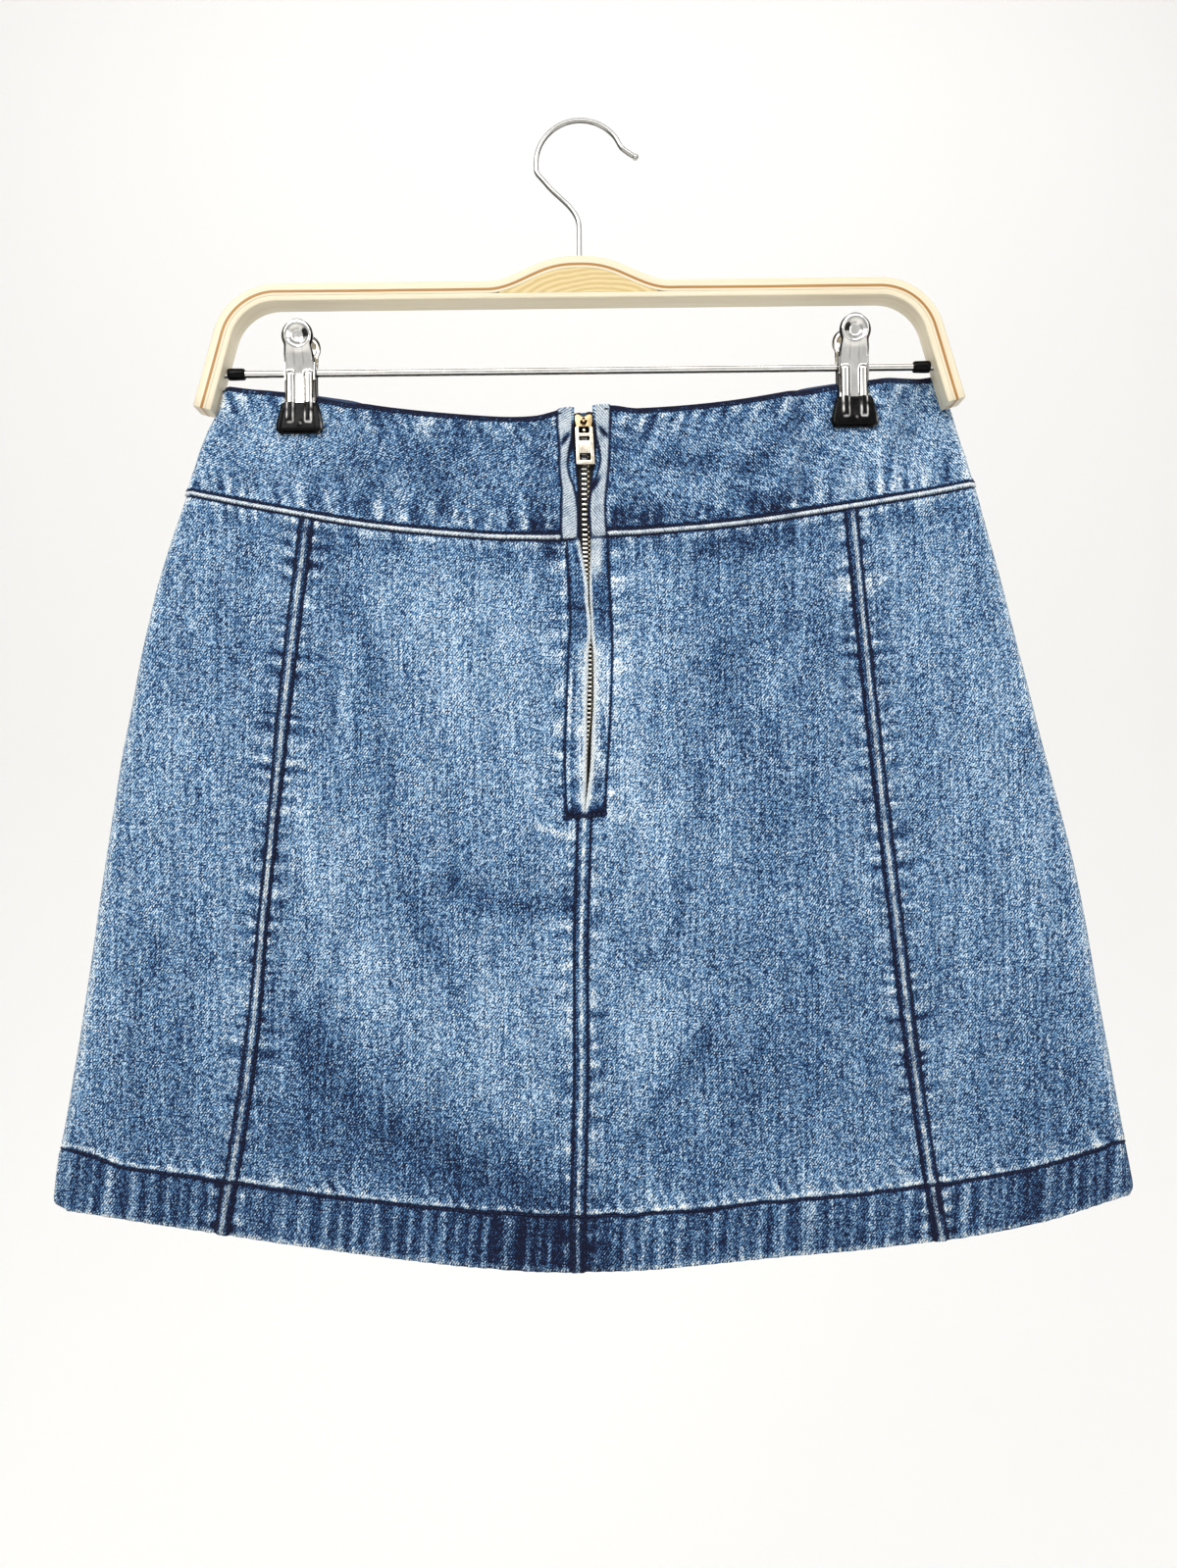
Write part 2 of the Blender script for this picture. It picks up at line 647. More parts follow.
def opening_marks(r, word, sign):
    """The zip's folded edges, and the pressed-open seam below them."""
    open_part = falling(OPENING_END - 1.0, OPENING_END + 3.0, r.down)
    below = 1.0 - open_part
    edge = np.where(r.down < OPENING_END, read(OPENING, word, r.down),
                    read(LEVELS, "centre", r.down))
    stitch = read(OPENING, word + "_stitch", r.down)
    line = mix(sign * (stitch - edge), CENTRE_PAIR, below)
    distance = sign * (r.across - edge)
    beyond = distance - line
    inside = falling(-0.6, 0.6, beyond)
    r.lift += (SEAM_RIDGE + PANEL_DEPTH) * inside
    r.groove(beyond)
    r.wear += 0.16 * bell(beyond - 2.4, 1.5)
    r.puckers(beyond, r.down, 90 + int(sign), 11.5, 6.5, 0.24, 0.55, lean=0.1, start=1.8)
    r.puckers(beyond, r.down, 94 + int(sign), 4.8, 4.0, 0.08, 0.3, start=1.2)
    # Below the opening: a worn joint between the lines.
    broken = 0.7 + 0.5 * soft_noise(r.down, distance, 2.2, 2.0, 98)
    r.wear += below * 1.5 * broken * bell(distance - 0.2, 0.6)
    r.tone -= below * 0.55 * bell(distance, 6.0)
    r.deep += below * 0.3 * inside * smooth(0.7, 1.7, distance)
    r.lift -= below * 0.35 * bell(distance, 0.4)
    # The folded edges: white piping above, white lips lower down.
    top, bottom = r.down - WAIST, OPENING_END - r.down
    piping = 1.3 if word == "left" else 0.8
    lips = smooth(44.0, 62.0, top) * smooth(-1.0, 8.0, bottom)
    width = mix(piping, 1.3 + 0.4 * line_noise(r.down, 9.0, 101), lips)
    white = open_part * falling(width - 0.4, width + 0.7, distance)
    if word == "right":
        triangle = falling(11.0, 24.0, top) * falling(4.0, 7.0, distance)
        white = np.maximum(white, 0.95 * triangle)
    r.pale += 0.95 * white
    r.wear += 0.9 * white * smooth(0.0, 10.0, top)
    r.lift += open_part * 0.35 * bell(distance - 1.1, 1.0)
    r.lift -= open_part * 0.5 * bell(distance, 0.35)
    blue = open_part * inside * (1.0 - white)
    r.deep += 0.3 * blue * (1.0 - lips)
    rubbed = 0.95 - 0.15 * distance + 0.3 * soft_noise(r.across, r.down, 3.0, 7.0, 105)
    r.wear += lips * blue * rubbed
    crease = r.z + 246.0 + 0.25 * r.across
    r.deep += 0.5 * blue * bell(crease, 1.2) * (1.0 if word == "left" else 0.35)
    r.lift -= 0.4 * open_part * inside * bell(crease, 2.0)
    # Whitish dashes inside the box, beside its left stitches.
    beside = bell(beyond + 1.5, 0.62) * open_part * smooth(52.0, 66.0, top)
    beside = beside * (1.0 - 0.6 * smooth(112.0, 120.0, top))
    strong = 1.7 if word == "left" else 0.4
    r.wear += strong * beside * (0.85 + 0.4 * line_noise(r.down, 4.0, 103))
    if word == "left":
        r.deep += 0.3 * bell(beyond + 3.4, 0.9) * open_part * smooth(52.0, 66.0, top)
    # The bar that closes the box: thick and dark, with shadows above and a worn rim below.
    uneven = 0.5 * line_noise(r.across, 2.5, 107)
    bar = r.down - (BOX_BAR - BOX_BAR_SLANT * (r.across + 1.0)) - uneven
    span = smooth(-12.4, -11.2, r.across) * falling(8.4, 9.4, r.across)
    r.deep += 1.6 * span * bell(bar, 0.95)
    r.wear -= 0.8 * span * bell(bar, 1.2)
    r.lift -= 0.35 * span * bell(bar, 1.0)
    above = span * smooth(-9.0, -3.0, bar) * falling(-1.5, 0.0, bar)
    blotches = 0.8 + 0.5 * soft_noise(r.across, r.down, 3.0, 3.0, 109)
    r.deep += 0.8 * above * smooth(0.6, 3.4, distance) * blotches
    smudge = bell(bar + 15.0, 4.0) * bell(distance - 4.2, 2.6)
    r.deep += 0.5 * smudge * open_part
    slope = bar - 3.2 - 0.36 * (r.across + 24.0)
    r.wear += (0.8 * bell(slope, 1.6) * smooth(-27.0, -21.0, r.across)
               * falling(-9.0, -6.0, r.across))
    r.wear += 0.6 * bell(bar - 2.0, 1.6) * bell(r.across - 14.0, 4.0)


def front_panel_relief(share, down):
    r = Relief(share, down, 1)
    r.patches()
    r.lift -= PANEL_DEPTH
    under_waist_marks(r)
    edge_glow(r, 0.4)
    hem_marks(r)
    return r


def band_marks(r, sign_of_lean):
    """The waistband's edges: dark top, worn lower ridge between dark lines, puckers."""
    up = (WAIST - GAP / 2.0) - r.down
    ridge = falling(1.15, 1.5, up)
    r.lift += SEAM_RIDGE * falling(3.4, 4.6, up)
    r.lift += 0.25 * bell(up - 0.85, 0.8)
    nicks = 0.8 + 0.3 * line_noise(r.across, 2.4, 111)
    r.wear += 1.5 * nicks * ridge * smooth(0.0, 0.3, up)
    r.pale += 0.9 * nicks * ridge
    r.groove(up - WAIST_ROW, 0.35, 0.6, deep=1.7)
    r.puckers(up - 3.0, r.across, 113, 12.0, 10.0, 0.42, 0.62, lean=sign_of_lean * 0.08, start=1.5)
    r.puckers(up - 3.0, r.across, 117, 6.5, 8.0, 0.12, 0.5, lean=sign_of_lean * 0.15, start=1.5)
    ragged = 0.5 * line_noise(r.across, 2.2, 119)
    r.deep += 1.2 * falling(0.6, 1.8, r.down + ragged)
    r.lift -= 0.4 * falling(0.0, 1.2, r.down)
    r.groove(r.down - TOP_ROW, 0.15, 0.5, deep=0.8)
    r.puckers(r.down - 2.0, r.across, 121, 11.0, 9.0, 0.22, 0.7, lean=-sign_of_lean * 0.5,
              start=1.5)
    drag = ripple(r.across - sign_of_lean * 0.9 * r.down, 23.0, 125)
    middle = smooth(5.0, 18.0, r.down) * smooth(5.0, 18.0, up)
    r.tone += 0.35 * drag * middle
    r.lift += 0.25 * drag * middle
    r.tone += mix(-0.35, 0.05, smooth(0.55, 0.8, np.abs(r.share)))


def band_relief(word):
    sign = SIDES[word]

    def relief(share, down):
        r = Relief(share, down, -1)
        r.streaks()
        r.tone += 0.2 * soft_noise(r.across, r.z, 24.0, 16.0, 131)
        edge = read(OPENING, word, r.down)
        roll = read(ROLLS, word, r.down)
        stitch = read(OPENING, word + "_stitch", r.down)
        beyond = sign * (r.across - stitch)
        on_panel = smooth(-0.3, 0.8, beyond)
        marks = Relief(share, down, -1)
        band_marks(marks, -sign)
        marks.puckers(beyond, r.down, 135 + int(sign), 10.0, 6.0, 0.2, 0.4, start=1.8)
        edge_glow(marks, 0.45 if sign > 0 else 0.25)
        for name in MARKS:
            setattr(r, name, getattr(r, name) + on_panel * getattr(marks, name))
        lip_marks(r, word, sign, edge, roll, stitch)
        return r

    return relief


# Notches where the turned-back lip folds over itself.
Notch = namedtuple("Notch", "x z wide tall lean deep")
NOTCHES = {
    "left": (Notch(-8.6, -162.0, 2.9, 0.9, -55, 1.0), Notch(-5.6, -166.0, 0.9, 3.2, 20, 0.6)),
    "right": (Notch(9.9, -158.8, 3.0, 0.9, 50, 1.0), Notch(5.6, -184.6, 1.0, 3.6, 32, 0.9)),
}


def lip_marks(r, word, sign, edge, roll, stitch):
    """The waistband's rolled white lip beside the zip."""
    past_roll = sign * (r.across - roll)
    width = np.maximum(sign * (stitch - roll), 0.5)
    t = np.clip(past_roll / width, -1.0, 1.5)
    on_lip = smooth(-0.35, 0.25, past_roll) * falling(0.93, 1.0, t)
    rounded = np.sqrt(np.clip(1.0 - (2.0 * np.clip(t, 0.0, 1.0) - 1.0) ** 2, 0.0, 1.0))
    r.lift += on_lip * LIP_HEIGHT * (0.35 + 0.85 * rounded)
    gone = sign * (roll - r.across)
    dip = LIP_DIP * np.minimum(1.0, np.abs(roll - edge) / LIP_DIP_RUN)
    r.lift -= smooth(0.0, 1.6, gone) * dip
    r.deep += 1.3 * bell(past_roll + 0.4, 0.5) * smooth(3.0, 16.0, r.down)
    r.deep += 0.12 * smooth(0.4, 1.0, gone)
    r.deep += 1.2 * falling(0.0, 0.8, sign * (r.across - edge)) * smooth(3.0, 9.0, r.down)
    r.groove(sign * (r.across - stitch), 0.3, 0.5)
    crumple = soft_noise(r.across, r.z, 3.0, 6.0, 141)
    r.pale += on_lip * (0.92 + 0.1 * crumple)
    r.deep += 0.25 * on_lip * np.maximum(-crumple, 0.0)
    r.lift += on_lip * 0.12 * crumple
    for notch in NOTCHES[word]:
        turn = math.radians(notch.lean)
        dx, dz = r.across - notch.x, r.z - notch.z
        u = dx * math.cos(turn) - dz * math.sin(turn)
        v = dx * math.sin(turn) + dz * math.cos(turn)
        shade = np.exp(-((u / notch.wide) ** 2 + (v / notch.tall) ** 2))
        r.deep += 2.0 * notch.deep * shade
        r.pale -= 1.5 * notch.deep * shade
        r.lift -= 0.7 * notch.deep * shade
    # The lip's lower end turns under at the waist seam.
    r.lift -= 0.5 * on_lip * smooth(WAIST - 2.0, WAIST, r.down)


def front_band_relief(share, down):
    r = Relief(share, down, 1)
    r.tone += 0.2 * soft_noise(r.across, r.z, 24.0, 16.0, 151)
    band_marks(r, 1.0)
    edge_glow(r, 0.4)
    return r


# ---------------------------------------------------------------- meshes
def link(thing):
    bpy.context.scene.collection.objects.link(thing)
    return thing


def mesh_object(name, points, faces, material, smooth_angle=40.0):
    """One object from points in millimetres, its faces turned outwards."""
    mesh = bpy.data.meshes.new(name)
    mesh.from_pydata((np.asarray(points, float) * MM).tolist(), [], faces)
    work = bmesh.new()
    work.from_mesh(mesh)
    bmesh.ops.recalc_face_normals(work, faces=work.faces)
    work.to_mesh(mesh)
    work.free()
    mesh.shade_smooth()
    if smooth_angle < 180.0:
        mesh.set_sharp_from_angle(angle=math.radians(smooth_angle))
    mesh.materials.append(material)
    return link(bpy.data.objects.new(name, mesh))


def set_values(mesh, name, values):
    attribute = mesh.attributes.new(name, "FLOAT", "POINT")
    attribute.data.foreach_set("value", np.asarray(values, np.float32).ravel())


def set_vectors(mesh, name, values):
    attribute = mesh.attributes.new(name, "FLOAT_VECTOR", "POINT")
    attribute.data.foreach_set("vector", np.asarray(values, np.float32).ravel())


def thinned(count, every):
    """Every few indices of a row, its last one too."""
    return list(range(0, count - 1, every)) + [count - 1]


def inner_faces(rows, columns, index_of):
    """Large faces over a grid whose border keeps all its points."""
    faces = []
    row_marks, column_marks = thinned(rows, 3), thinned(columns, 3)
    for r0, r1 in zip(row_marks, row_marks[1:]):
        for c0, c1 in zip(column_marks, column_marks[1:]):
            ring = [(r0, c) for c in (range(c0, c1) if r0 == 0 else (c0,))]
            ring += [(r, c1) for r in (range(r0, r1) if c1 == columns - 1 else (r0,))]
            ring += [(r1, c) for c in (range(c1, c0, -1) if r1 == rows - 1 else (c1,))]
            ring += [(r, c0) for r in (range(r1, r0, -1) if c0 == 0 else (r1,))]
            faces.append(tuple(index_of[place] for place in ring))
    return faces


def ring_faces(rings, sides):
    """A skin over rings of points, closed at both ends."""
    faces = []
    for k in range(rings - 1):
        for j in range(sides):
            a, b = k * sides + j, k * sides + (j + 1) % sides
            faces.append((a, b, b + sides, a + sides))
    return faces + [tuple(range(sides)), tuple(range((rings - 1) * sides, rings * sides))]


def grid_border(rows, columns):
    """The (row, column) places round the edge of a grid."""
    places = [(0, c) for c in range(columns)]
    places += [(r, columns - 1) for r in range(1, rows)]
    places += [(rows - 1, c) for c in range(columns - 2, -1, -1)]
    return places + [(r, 0) for r in range(rows - 2, 0, -1)]


def side_faces(rows, columns):
    """Faces between the borders of two grids whose points follow each other."""
    border = [r * columns + c for r, c in grid_border(rows, columns)]
    count = rows * columns
    return [(a, b, b + count, a + count) for a, b in zip(border, border[1:] + border[:1])]


def shape_of(work):
    """The points and faces of a bmesh, which is then freed."""
    work.verts.index_update()
    points = np.array([v.co[:] for v in work.verts])
    faces = [tuple(v.index for v in face.verts) for face in work.faces]
    work.free()
    return points, faces


def tangents(path):
    along = np.gradient(path, axis=0)
    return along / np.linalg.norm(along, axis=1, keepdims=True)


def stand_for(thing, nodes, body="root"):
    """Says which body a piece rides on, which CAD nodes it replaces."""
    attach(thing, body)
    if nodes:
        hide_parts(*nodes)
    return thing


RIM_POINTS = 3


def cloth_shell(name, outer, inner, facts, material, rims):
    """A closed wall of cloth between two grids. rims say how far the top, bottom, first
    and last edges bulge, as a share of half the wall."""
    rows, columns = outer.shape[:2]
    border = grid_border(rows, columns)
    used = np.zeros((rows, columns), bool)
    used[np.ix_(thinned(rows, 3), thinned(columns, 3))] = True
    used[0, :] = used[-1, :] = True
    used[:, 0] = used[:, -1] = True
    index_of = np.full((rows, columns), -1)
    index_of[used] = rows * columns + np.arange(used.sum())
    grid = np.arange(rows * columns).reshape(rows, columns)
    quads = np.stack([grid[:-1, :-1], grid[:-1, 1:], grid[1:, 1:], grid[1:, :-1]], axis=-1)
    faces = quads.reshape(-1, 4).tolist() + inner_faces(rows, columns, index_of)
    rim_start = rows * columns + int(used.sum())
    rim_points, rim_places = [], []
    for place in border:
        r, c = place
        out = np.zeros(3)
        for at_edge, factor, neighbour in (
                (r == 0, rims[0], (1, c)), (r == rows - 1, rims[1], (rows - 2, c)),
                (c == 0, rims[2], (r, 1)), (c == columns - 1, rims[3], (r, columns - 2))):
            if at_edge:
                away = outer[place] - outer[neighbour]
                out += factor * away / max(np.linalg.norm(away), 1e-6)
        middle = (outer[place] + inner[place]) / 2.0
        arm = outer[place] - middle
        for k in range(1, RIM_POINTS + 1):
            angle = math.pi * k / (RIM_POINTS + 1)
            rim_points.append(middle + math.cos(angle) * arm
                              + math.sin(angle) * np.linalg.norm(arm) * out)
            rim_places.append(place)
    ribs = []
    for k, place in enumerate(border):
        start = rim_start + k * RIM_POINTS
        ribs.append([int(grid[place]), *range(start, start + RIM_POINTS), int(index_of[place])])
    for first, second in zip(ribs, ribs[1:] + ribs[:1]):
        faces += zip(first, second, second[1:], first[1:])
    points = np.concatenate([outer.reshape(-1, 3), inner[used], np.array(rim_points)])
    thing = mesh_object(name, points, faces, material, smooth_angle=180.0)
    rim_r, rim_c = np.array(rim_places).T
    depth = np.tile(np.arange(1, RIM_POINTS + 1) / (RIM_POINTS + 1.0), len(border))
    for key, values in facts.items():
        flat = [values.reshape(rows * columns, -1), values[used].reshape(used.sum(), -1),
                values[rim_r, rim_c].reshape(len(rim_points), -1)]
        joined = np.concatenate(flat)
        if joined.shape[1] == 3:
            set_vectors(thing.data, key, joined)
        else:
            set_values(thing.data, key, joined)
    inside = np.concatenate([np.zeros(rows * columns), np.ones(used.sum()),
                             smooth(0.45, 1.0, depth)])
    set_values(thing.data, "inside", inside)
    return thing


def wall_area(points):
    """The area of a grid of points, in square metres."""
    side = points[1:, :-1] - points[:-1, :-1]
    along = points[:-1, 1:] - points[:-1, :-1]
    return float(np.linalg.norm(np.cross(side, along), axis=-1).sum()) * MM * MM


def grain_of(across, z, turn_degrees):
    """Where each point lies on the cloth it was cut from: x across the grain, y along it."""
    turn = math.radians(turn_degrees)
    x = across * math.cos(turn) + z * math.sin(turn)
    y = -across * math.sin(turn) + z * math.cos(turn)
    return np.stack([x, y, np.zeros_like(x)], axis=-1)


def rows_like(down, grid):
    return np.broadcast_to(down[:, None], grid.shape)


def make_cloth(node, share, down, side, relief, wall, material, rims, flat,
               grain=0.0):
    """One cut piece of the skirt as a thin closed wall, in place of its CAD solid. flat is
    the width and length it is stated to be cut to."""
    down = rows_like(down, share)
    r = relief(share, down)
    base = surface(share, down, side)
    normal = outward(share, down, side)
    outer = base + normal * r.lift[..., None]
    inner = base - normal * np.broadcast_to(wall, share.shape)[..., None]
    facts = {
        "weave": grain_of(r.across, r.z, grain),
        "wear": r.wear,
        "deep": r.deep,
        "tone": r.tone,
        "pale": np.clip(r.pale, 0.0, 1.0),
    }
    thing = cloth_shell("denim_" + node, outer, inner, facts, material, rims)
    stand_for(thing, [node])
    flat = (flat[0] * MM, flat[1] * MM)
    area = min(wall_area(base), flat[0] * flat[1])


# ---------------------------------------------------------------- the sewing
STITCH_SIDES = 6
STITCH_RINGS = ((0.0, 0.45, -0.22), (0.12, 0.95, 0.02), (0.5, 1.0, 0.2), (0.88, 0.95, 0.02),
                (1.0, 0.45, -0.22))


def point_on(place, run, points):
    """The point at a distance along a line of points."""
    return np.array([np.interp(place, run, points[:, i]) for i in range(3)])


class Sewing:
    """Rows of stitches gathered into one mesh."""

    def __init__(self):
        self.points, self.faces = [], []

    def row(self, places, normals, length=2.7, gap=0.35, radius=0.34):
        """Stitches along a line of points that lies on the cloth."""
        spans = np.linalg.norm(np.diff(places, axis=0), axis=1)
        run = np.concatenate([[0.0], np.cumsum(spans)])
        count = max(1, int(run[-1] / (length + gap)))
        pitch = run[-1] / count
        for k in range(count):
            start, end = k * pitch + gap / 2.0, (k + 1) * pitch - gap / 2.0
            self.stitch(run, places, normals, start, end, radius)

    def stitch(self, run, places, normals, start, end, radius):
        first = len(self.points)
        for share, size, height in STITCH_RINGS:
            at = mix(start, end, share)
            ahead = point_on(min(at + 0.4, run[-1]), run, places)
            before = point_on(max(at - 0.4, 0.0), run, places)
            up = point_on(at, run, normals)
            up /= np.linalg.norm(up)
            along = (ahead - before) / max(np.linalg.norm(ahead - before), 1e-9)
            across = np.cross(along, up)
            centre = point_on(at, run, places) + up * height
            for j in range(STITCH_SIDES):
                turn = 2.0 * math.pi * j / STITCH_SIDES
                offset = math.cos(turn) * across + 0.8 * math.sin(turn) * up
                self.points.append(centre + radius * size * offset)
        self.faces += [tuple(first + v for v in face)
                       for face in ring_faces(len(STITCH_RINGS), STITCH_SIDES)]

    def make(self, name, material):
        thing = mesh_object(name, np.array(self.points), self.faces, material, 180.0)
        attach(thing, "root")


def sew(sewing, relief, share, down, side, **sizes):
    """A row of stitches along a line of one cloth piece."""
    share, down = matched(share, down)
    normal = outward(share, down, side)
    places = surface(share, down, side) + normal * (relief(share, down).lift + 0.12)[..., None]
    sewing.row(places, normal, **sizes)


# ---------------------------------------------------------------- materials
class Nodes:
    """A short way of writing a node material."""

    def __init__(self, name, roughness=0.5, metallic=0.0, **constants):
        self.material = bpy.data.materials.new(name)
        self.material.use_nodes = True
        self.tree = self.material.node_tree
        self.shader = self.tree.nodes["Principled BSDF"]
        self.shader.inputs["Roughness"].default_value = roughness
        self.shader.inputs["Metallic"].default_value = metallic
        for key, value in constants.items():
            self.shader.inputs[key.replace("_", " ")].default_value = value

    def node(self, kind, **settings):
        made = self.tree.nodes.new(kind)
        for key, value in settings.items():
            setattr(made, key, value)
        return made

    def join(self, source, socket):
        if isinstance(source, (int, float, tuple)):
            socket.default_value = source
        else:
            self.tree.links.new(source, socket)

    def math(self, operation, first, second=None, third=None):
        made = self.node("ShaderNodeMath", operation=operation)
        for socket, value in zip(made.inputs, (first, second, third)):
            if value is not None:
                self.join(value, socket)
        return made.outputs[0]

    def sum(self, *terms):
        """The sum of (source, factor) pairs and plain numbers."""
        total = None
        for term in terms:
            source, factor = term if isinstance(term, tuple) else (term, 1.0)
            if total is None:
                total = self.math("MULTIPLY", source, factor)
            else:
                total = self.math("MULTIPLY_ADD", source, factor, total)
        return total

    def attribute(self, name, output="Fac"):
        return self.node("ShaderNodeAttribute", attribute_name=name).outputs[output]

    def place(self):
        return self.node("ShaderNodeTexCoord").outputs["Object"]

    def split(self, vector):
        """A vector's x, y and z."""
        made = self.node("ShaderNodeSeparateXYZ")
        self.join(vector, made.inputs[0])
        return made.outputs[0], made.outputs[1], made.outputs[2]

    def distance(self, x, y):
        return self.math("SQRT", self.sum((self.math("MULTIPLY", x, x), 1.0),
                                          (self.math("MULTIPLY", y, y), 1.0)))

    def noise(self, vector, scale, detail=2.0, roughness=0.5):
        """Noise over a vector whose x, y and z are first scaled."""
        mapping = self.node("ShaderNodeMapping")
        self.join(vector, mapping.inputs["Vector"])
        mapping.inputs["Scale"].default_value = scale
        made = self.node("ShaderNodeTexNoise")
        self.join(mapping.outputs["Vector"], made.inputs["Vector"])
        made.inputs["Scale"].default_value = 1.0
        made.inputs["Detail"].default_value = detail
        made.inputs["Roughness"].default_value = roughness
        return made.outputs["Fac"]

    def random(self, x, y):
        """A chance value for each unit cell of x and y."""
        cell = self.node("ShaderNodeCombineXYZ")
        self.join(self.math("FLOOR", x), cell.inputs[0])
        self.join(self.math("FLOOR", y), cell.inputs[1])
        chance = self.node("ShaderNodeTexWhiteNoise", noise_dimensions="2D")
        self.join(cell.outputs[0], chance.inputs["Vector"])
        return chance.outputs["Value"]

    def ramp(self, factor, *stops):
        """A colour ramp through (place, sRGB colour as 0-255) stops."""
        made = self.node("ShaderNodeValToRGB")
        elements = made.color_ramp.elements
        while len(elements) < len(stops):
            elements.new(0.5)
        for element, (place, colour) in zip(elements, stops):
            element.position = place
            element.color = linear(colour)
        self.join(factor, made.inputs["Fac"])
        return made.outputs["Color"]

    def range(self, value, low, high, new_low=0.0, new_high=1.0):
        made = self.node("ShaderNodeMapRange", interpolation_type="SMOOTHSTEP")
        self.join(value, made.inputs["Value"])
        for key, number in (("From Min", low), ("From Max", high), ("To Min", new_low),
                            ("To Max", new_high)):
            made.inputs[key].default_value = number
        return made.outputs["Result"]

    def mix_colours(self, factor, first, second):
        made = self.node("ShaderNodeMix", data_type="RGBA")
        self.join(factor, made.inputs["Factor"])
        self.join(first, made.inputs[6])
        self.join(second, made.inputs[7])
        return made.outputs[2]

    def bump(self, height, distance, strength):
        made = self.node("ShaderNodeBump")
        made.inputs["Distance"].default_value = distance
        made.inputs["Strength"].default_value = strength
        self.join(height, made.inputs["Height"])
        self.tree.links.new(made.outputs["Normal"], self.shader.inputs["Normal"])

    def set(self, key, source):
        self.join(source, self.shader.inputs[key])


def linear(colour):
    """An sRGB colour from 0 to 255 as a linear RGBA one."""
    values = []
    for value in colour:
        share = value / 255.0
        low = share / 12.92
        values.append(low if share <= 0.04045 else ((share + 0.055) / 1.055) ** 2.4)
    return (*values, 1.0)


TWILL_PITCH = 1.34
TWILL_RISE = 1.9
DASH_LONG = 3.2
FLOAT_WIDE = 0.64
FLOAT_TALL = 0.64
WARP_WIDE = 0.72


def denim_material():
    """Washed twill: navy warp over white weft, worn pale where the marks say so."""
    n = Nodes("denim", roughness=0.85, Sheen_Weight=0.06, Sheen_Roughness=0.5,
              Specular_IOR_Level=0.2)
    weave = n.attribute("weave", "Vector")
    wear, deep, tone = n.attribute("wear"), n.attribute("deep"), n.attribute("tone")
    x, y, _ = n.split(weave)
    wobble = n.noise(weave, (0.3, 0.12, 1.0), detail=1.0)
    slant = n.sum((x, 1.0 / TWILL_PITCH), (y, -1.0 / TWILL_RISE), (wobble, 0.6))
    wale = n.math("MULTIPLY", n.math("PINGPONG", slant, 0.5), 2.0)
    # Each wale is a run of floats, every one brighter or darker than its neighbours.
    wale_number = n.math("FLOOR", slant)
    dash = n.random(wale_number, n.sum((y, 1.0 / DASH_LONG), (wale_number, 0.618)))
    across, along = n.sum((x, 1.0 / FLOAT_WIDE)), n.sum((y, 1.0 / FLOAT_TALL))
    fleck = n.random(n.sum((across, 1.0), (along, -0.3)), along)
    # Floats light and dark by turns, each row and each column from a start of its own.
    weft = n.math("PINGPONG", n.sum((across, 1.0), (n.random(along, 0.5), 2.0)), 1.0)
    warp = n.math("PINGPONG", n.sum((along, 1.0), (n.random(across, 7.5), 2.0)), 1.0)
    column = n.random(n.sum((x, 1.0 / WARP_WIDE), (wobble, 0.8)), n.sum((y, 0.05), (wobble, 2.0)))
    grit = n.noise(weave, (2.2, 1.5, 1.0), roughness=0.6)
    mottle = n.noise(weave, (0.2, 0.14, 1.0), roughness=0.6)
    thread = n.noise(weave, (0.75, 0.03, 1.0), roughness=0.65)
    cloud = n.noise(weave, (0.02, 0.013, 1.0))
    twill = n.sum((wale, 0.48), (dash, 0.03), (fleck, 0.74), (weft, 0.22), (warp, 0.2),
                  (grit, 0.06), (column, 0.22), -0.975)
    worn = n.math("MINIMUM", n.math("MAXIMUM", wear, 0.0), 1.25)
    kept = n.math("MINIMUM", n.math("MAXIMUM", deep, 0.0), 1.5)
    contrast = n.sum((worn, 0.1), (kept, -0.35), 1.0)
    level = n.sum(
        (n.math("MULTIPLY", twill, contrast), 1.0),
        (mottle, 0.08), (thread, 0.16), (cloud, 0.16), (tone, 0.19),
        (worn, 0.42), (kept, -0.5), 0.25,
    )
    face = n.ramp(level,
                  (0.0, (8, 14, 40)), (0.18, (20, 44, 82)), (0.36, (50, 90, 136)),
                  (0.52, (89, 132, 170)), (0.68, (136, 174, 206)), (0.86, (198, 217, 232)),
                  (1.0, (234, 242, 244)))
    faded = n.ramp(level,
                   (0.0, (14, 22, 46)), (0.18, (32, 50, 80)), (0.36, (72, 97, 126)),
                   (0.52, (109, 132, 155)), (0.68, (156, 174, 189)), (0.86, (208, 216, 219)),
                   (1.0, (246, 243, 232)))
    face = n.mix_colours(n.math("MULTIPLY", worn, 0.6), face, faded)
    pale_level = n.sum((wale, 0.6), (dash, 0.1), (fleck, 0.25), (weft, 0.15), (warp, 0.15),
                       (grit, 0.15), (worn, 0.24), (kept, -0.9), -0.22)
    pale = n.ramp(pale_level,
                  (0.0, (58, 76, 104)), (0.25, (130, 147, 164)), (0.5, (182, 194, 202)),
                  (0.8, (222, 227, 228)), (1.0, (244, 244, 240)))
    turned = n.math("MAXIMUM", n.attribute("inside"), n.attribute("pale"))
    n.set("Base Color", n.mix_colours(turned, face, pale))
    n.set("Roughness", n.range(grit, 0.3, 0.7, 0.78, 0.95))
    n.bump(n.sum((wale, 0.6), (grit, 0.5), (fleck, 0.4)), 0.0003, 0.9)
    return n.material


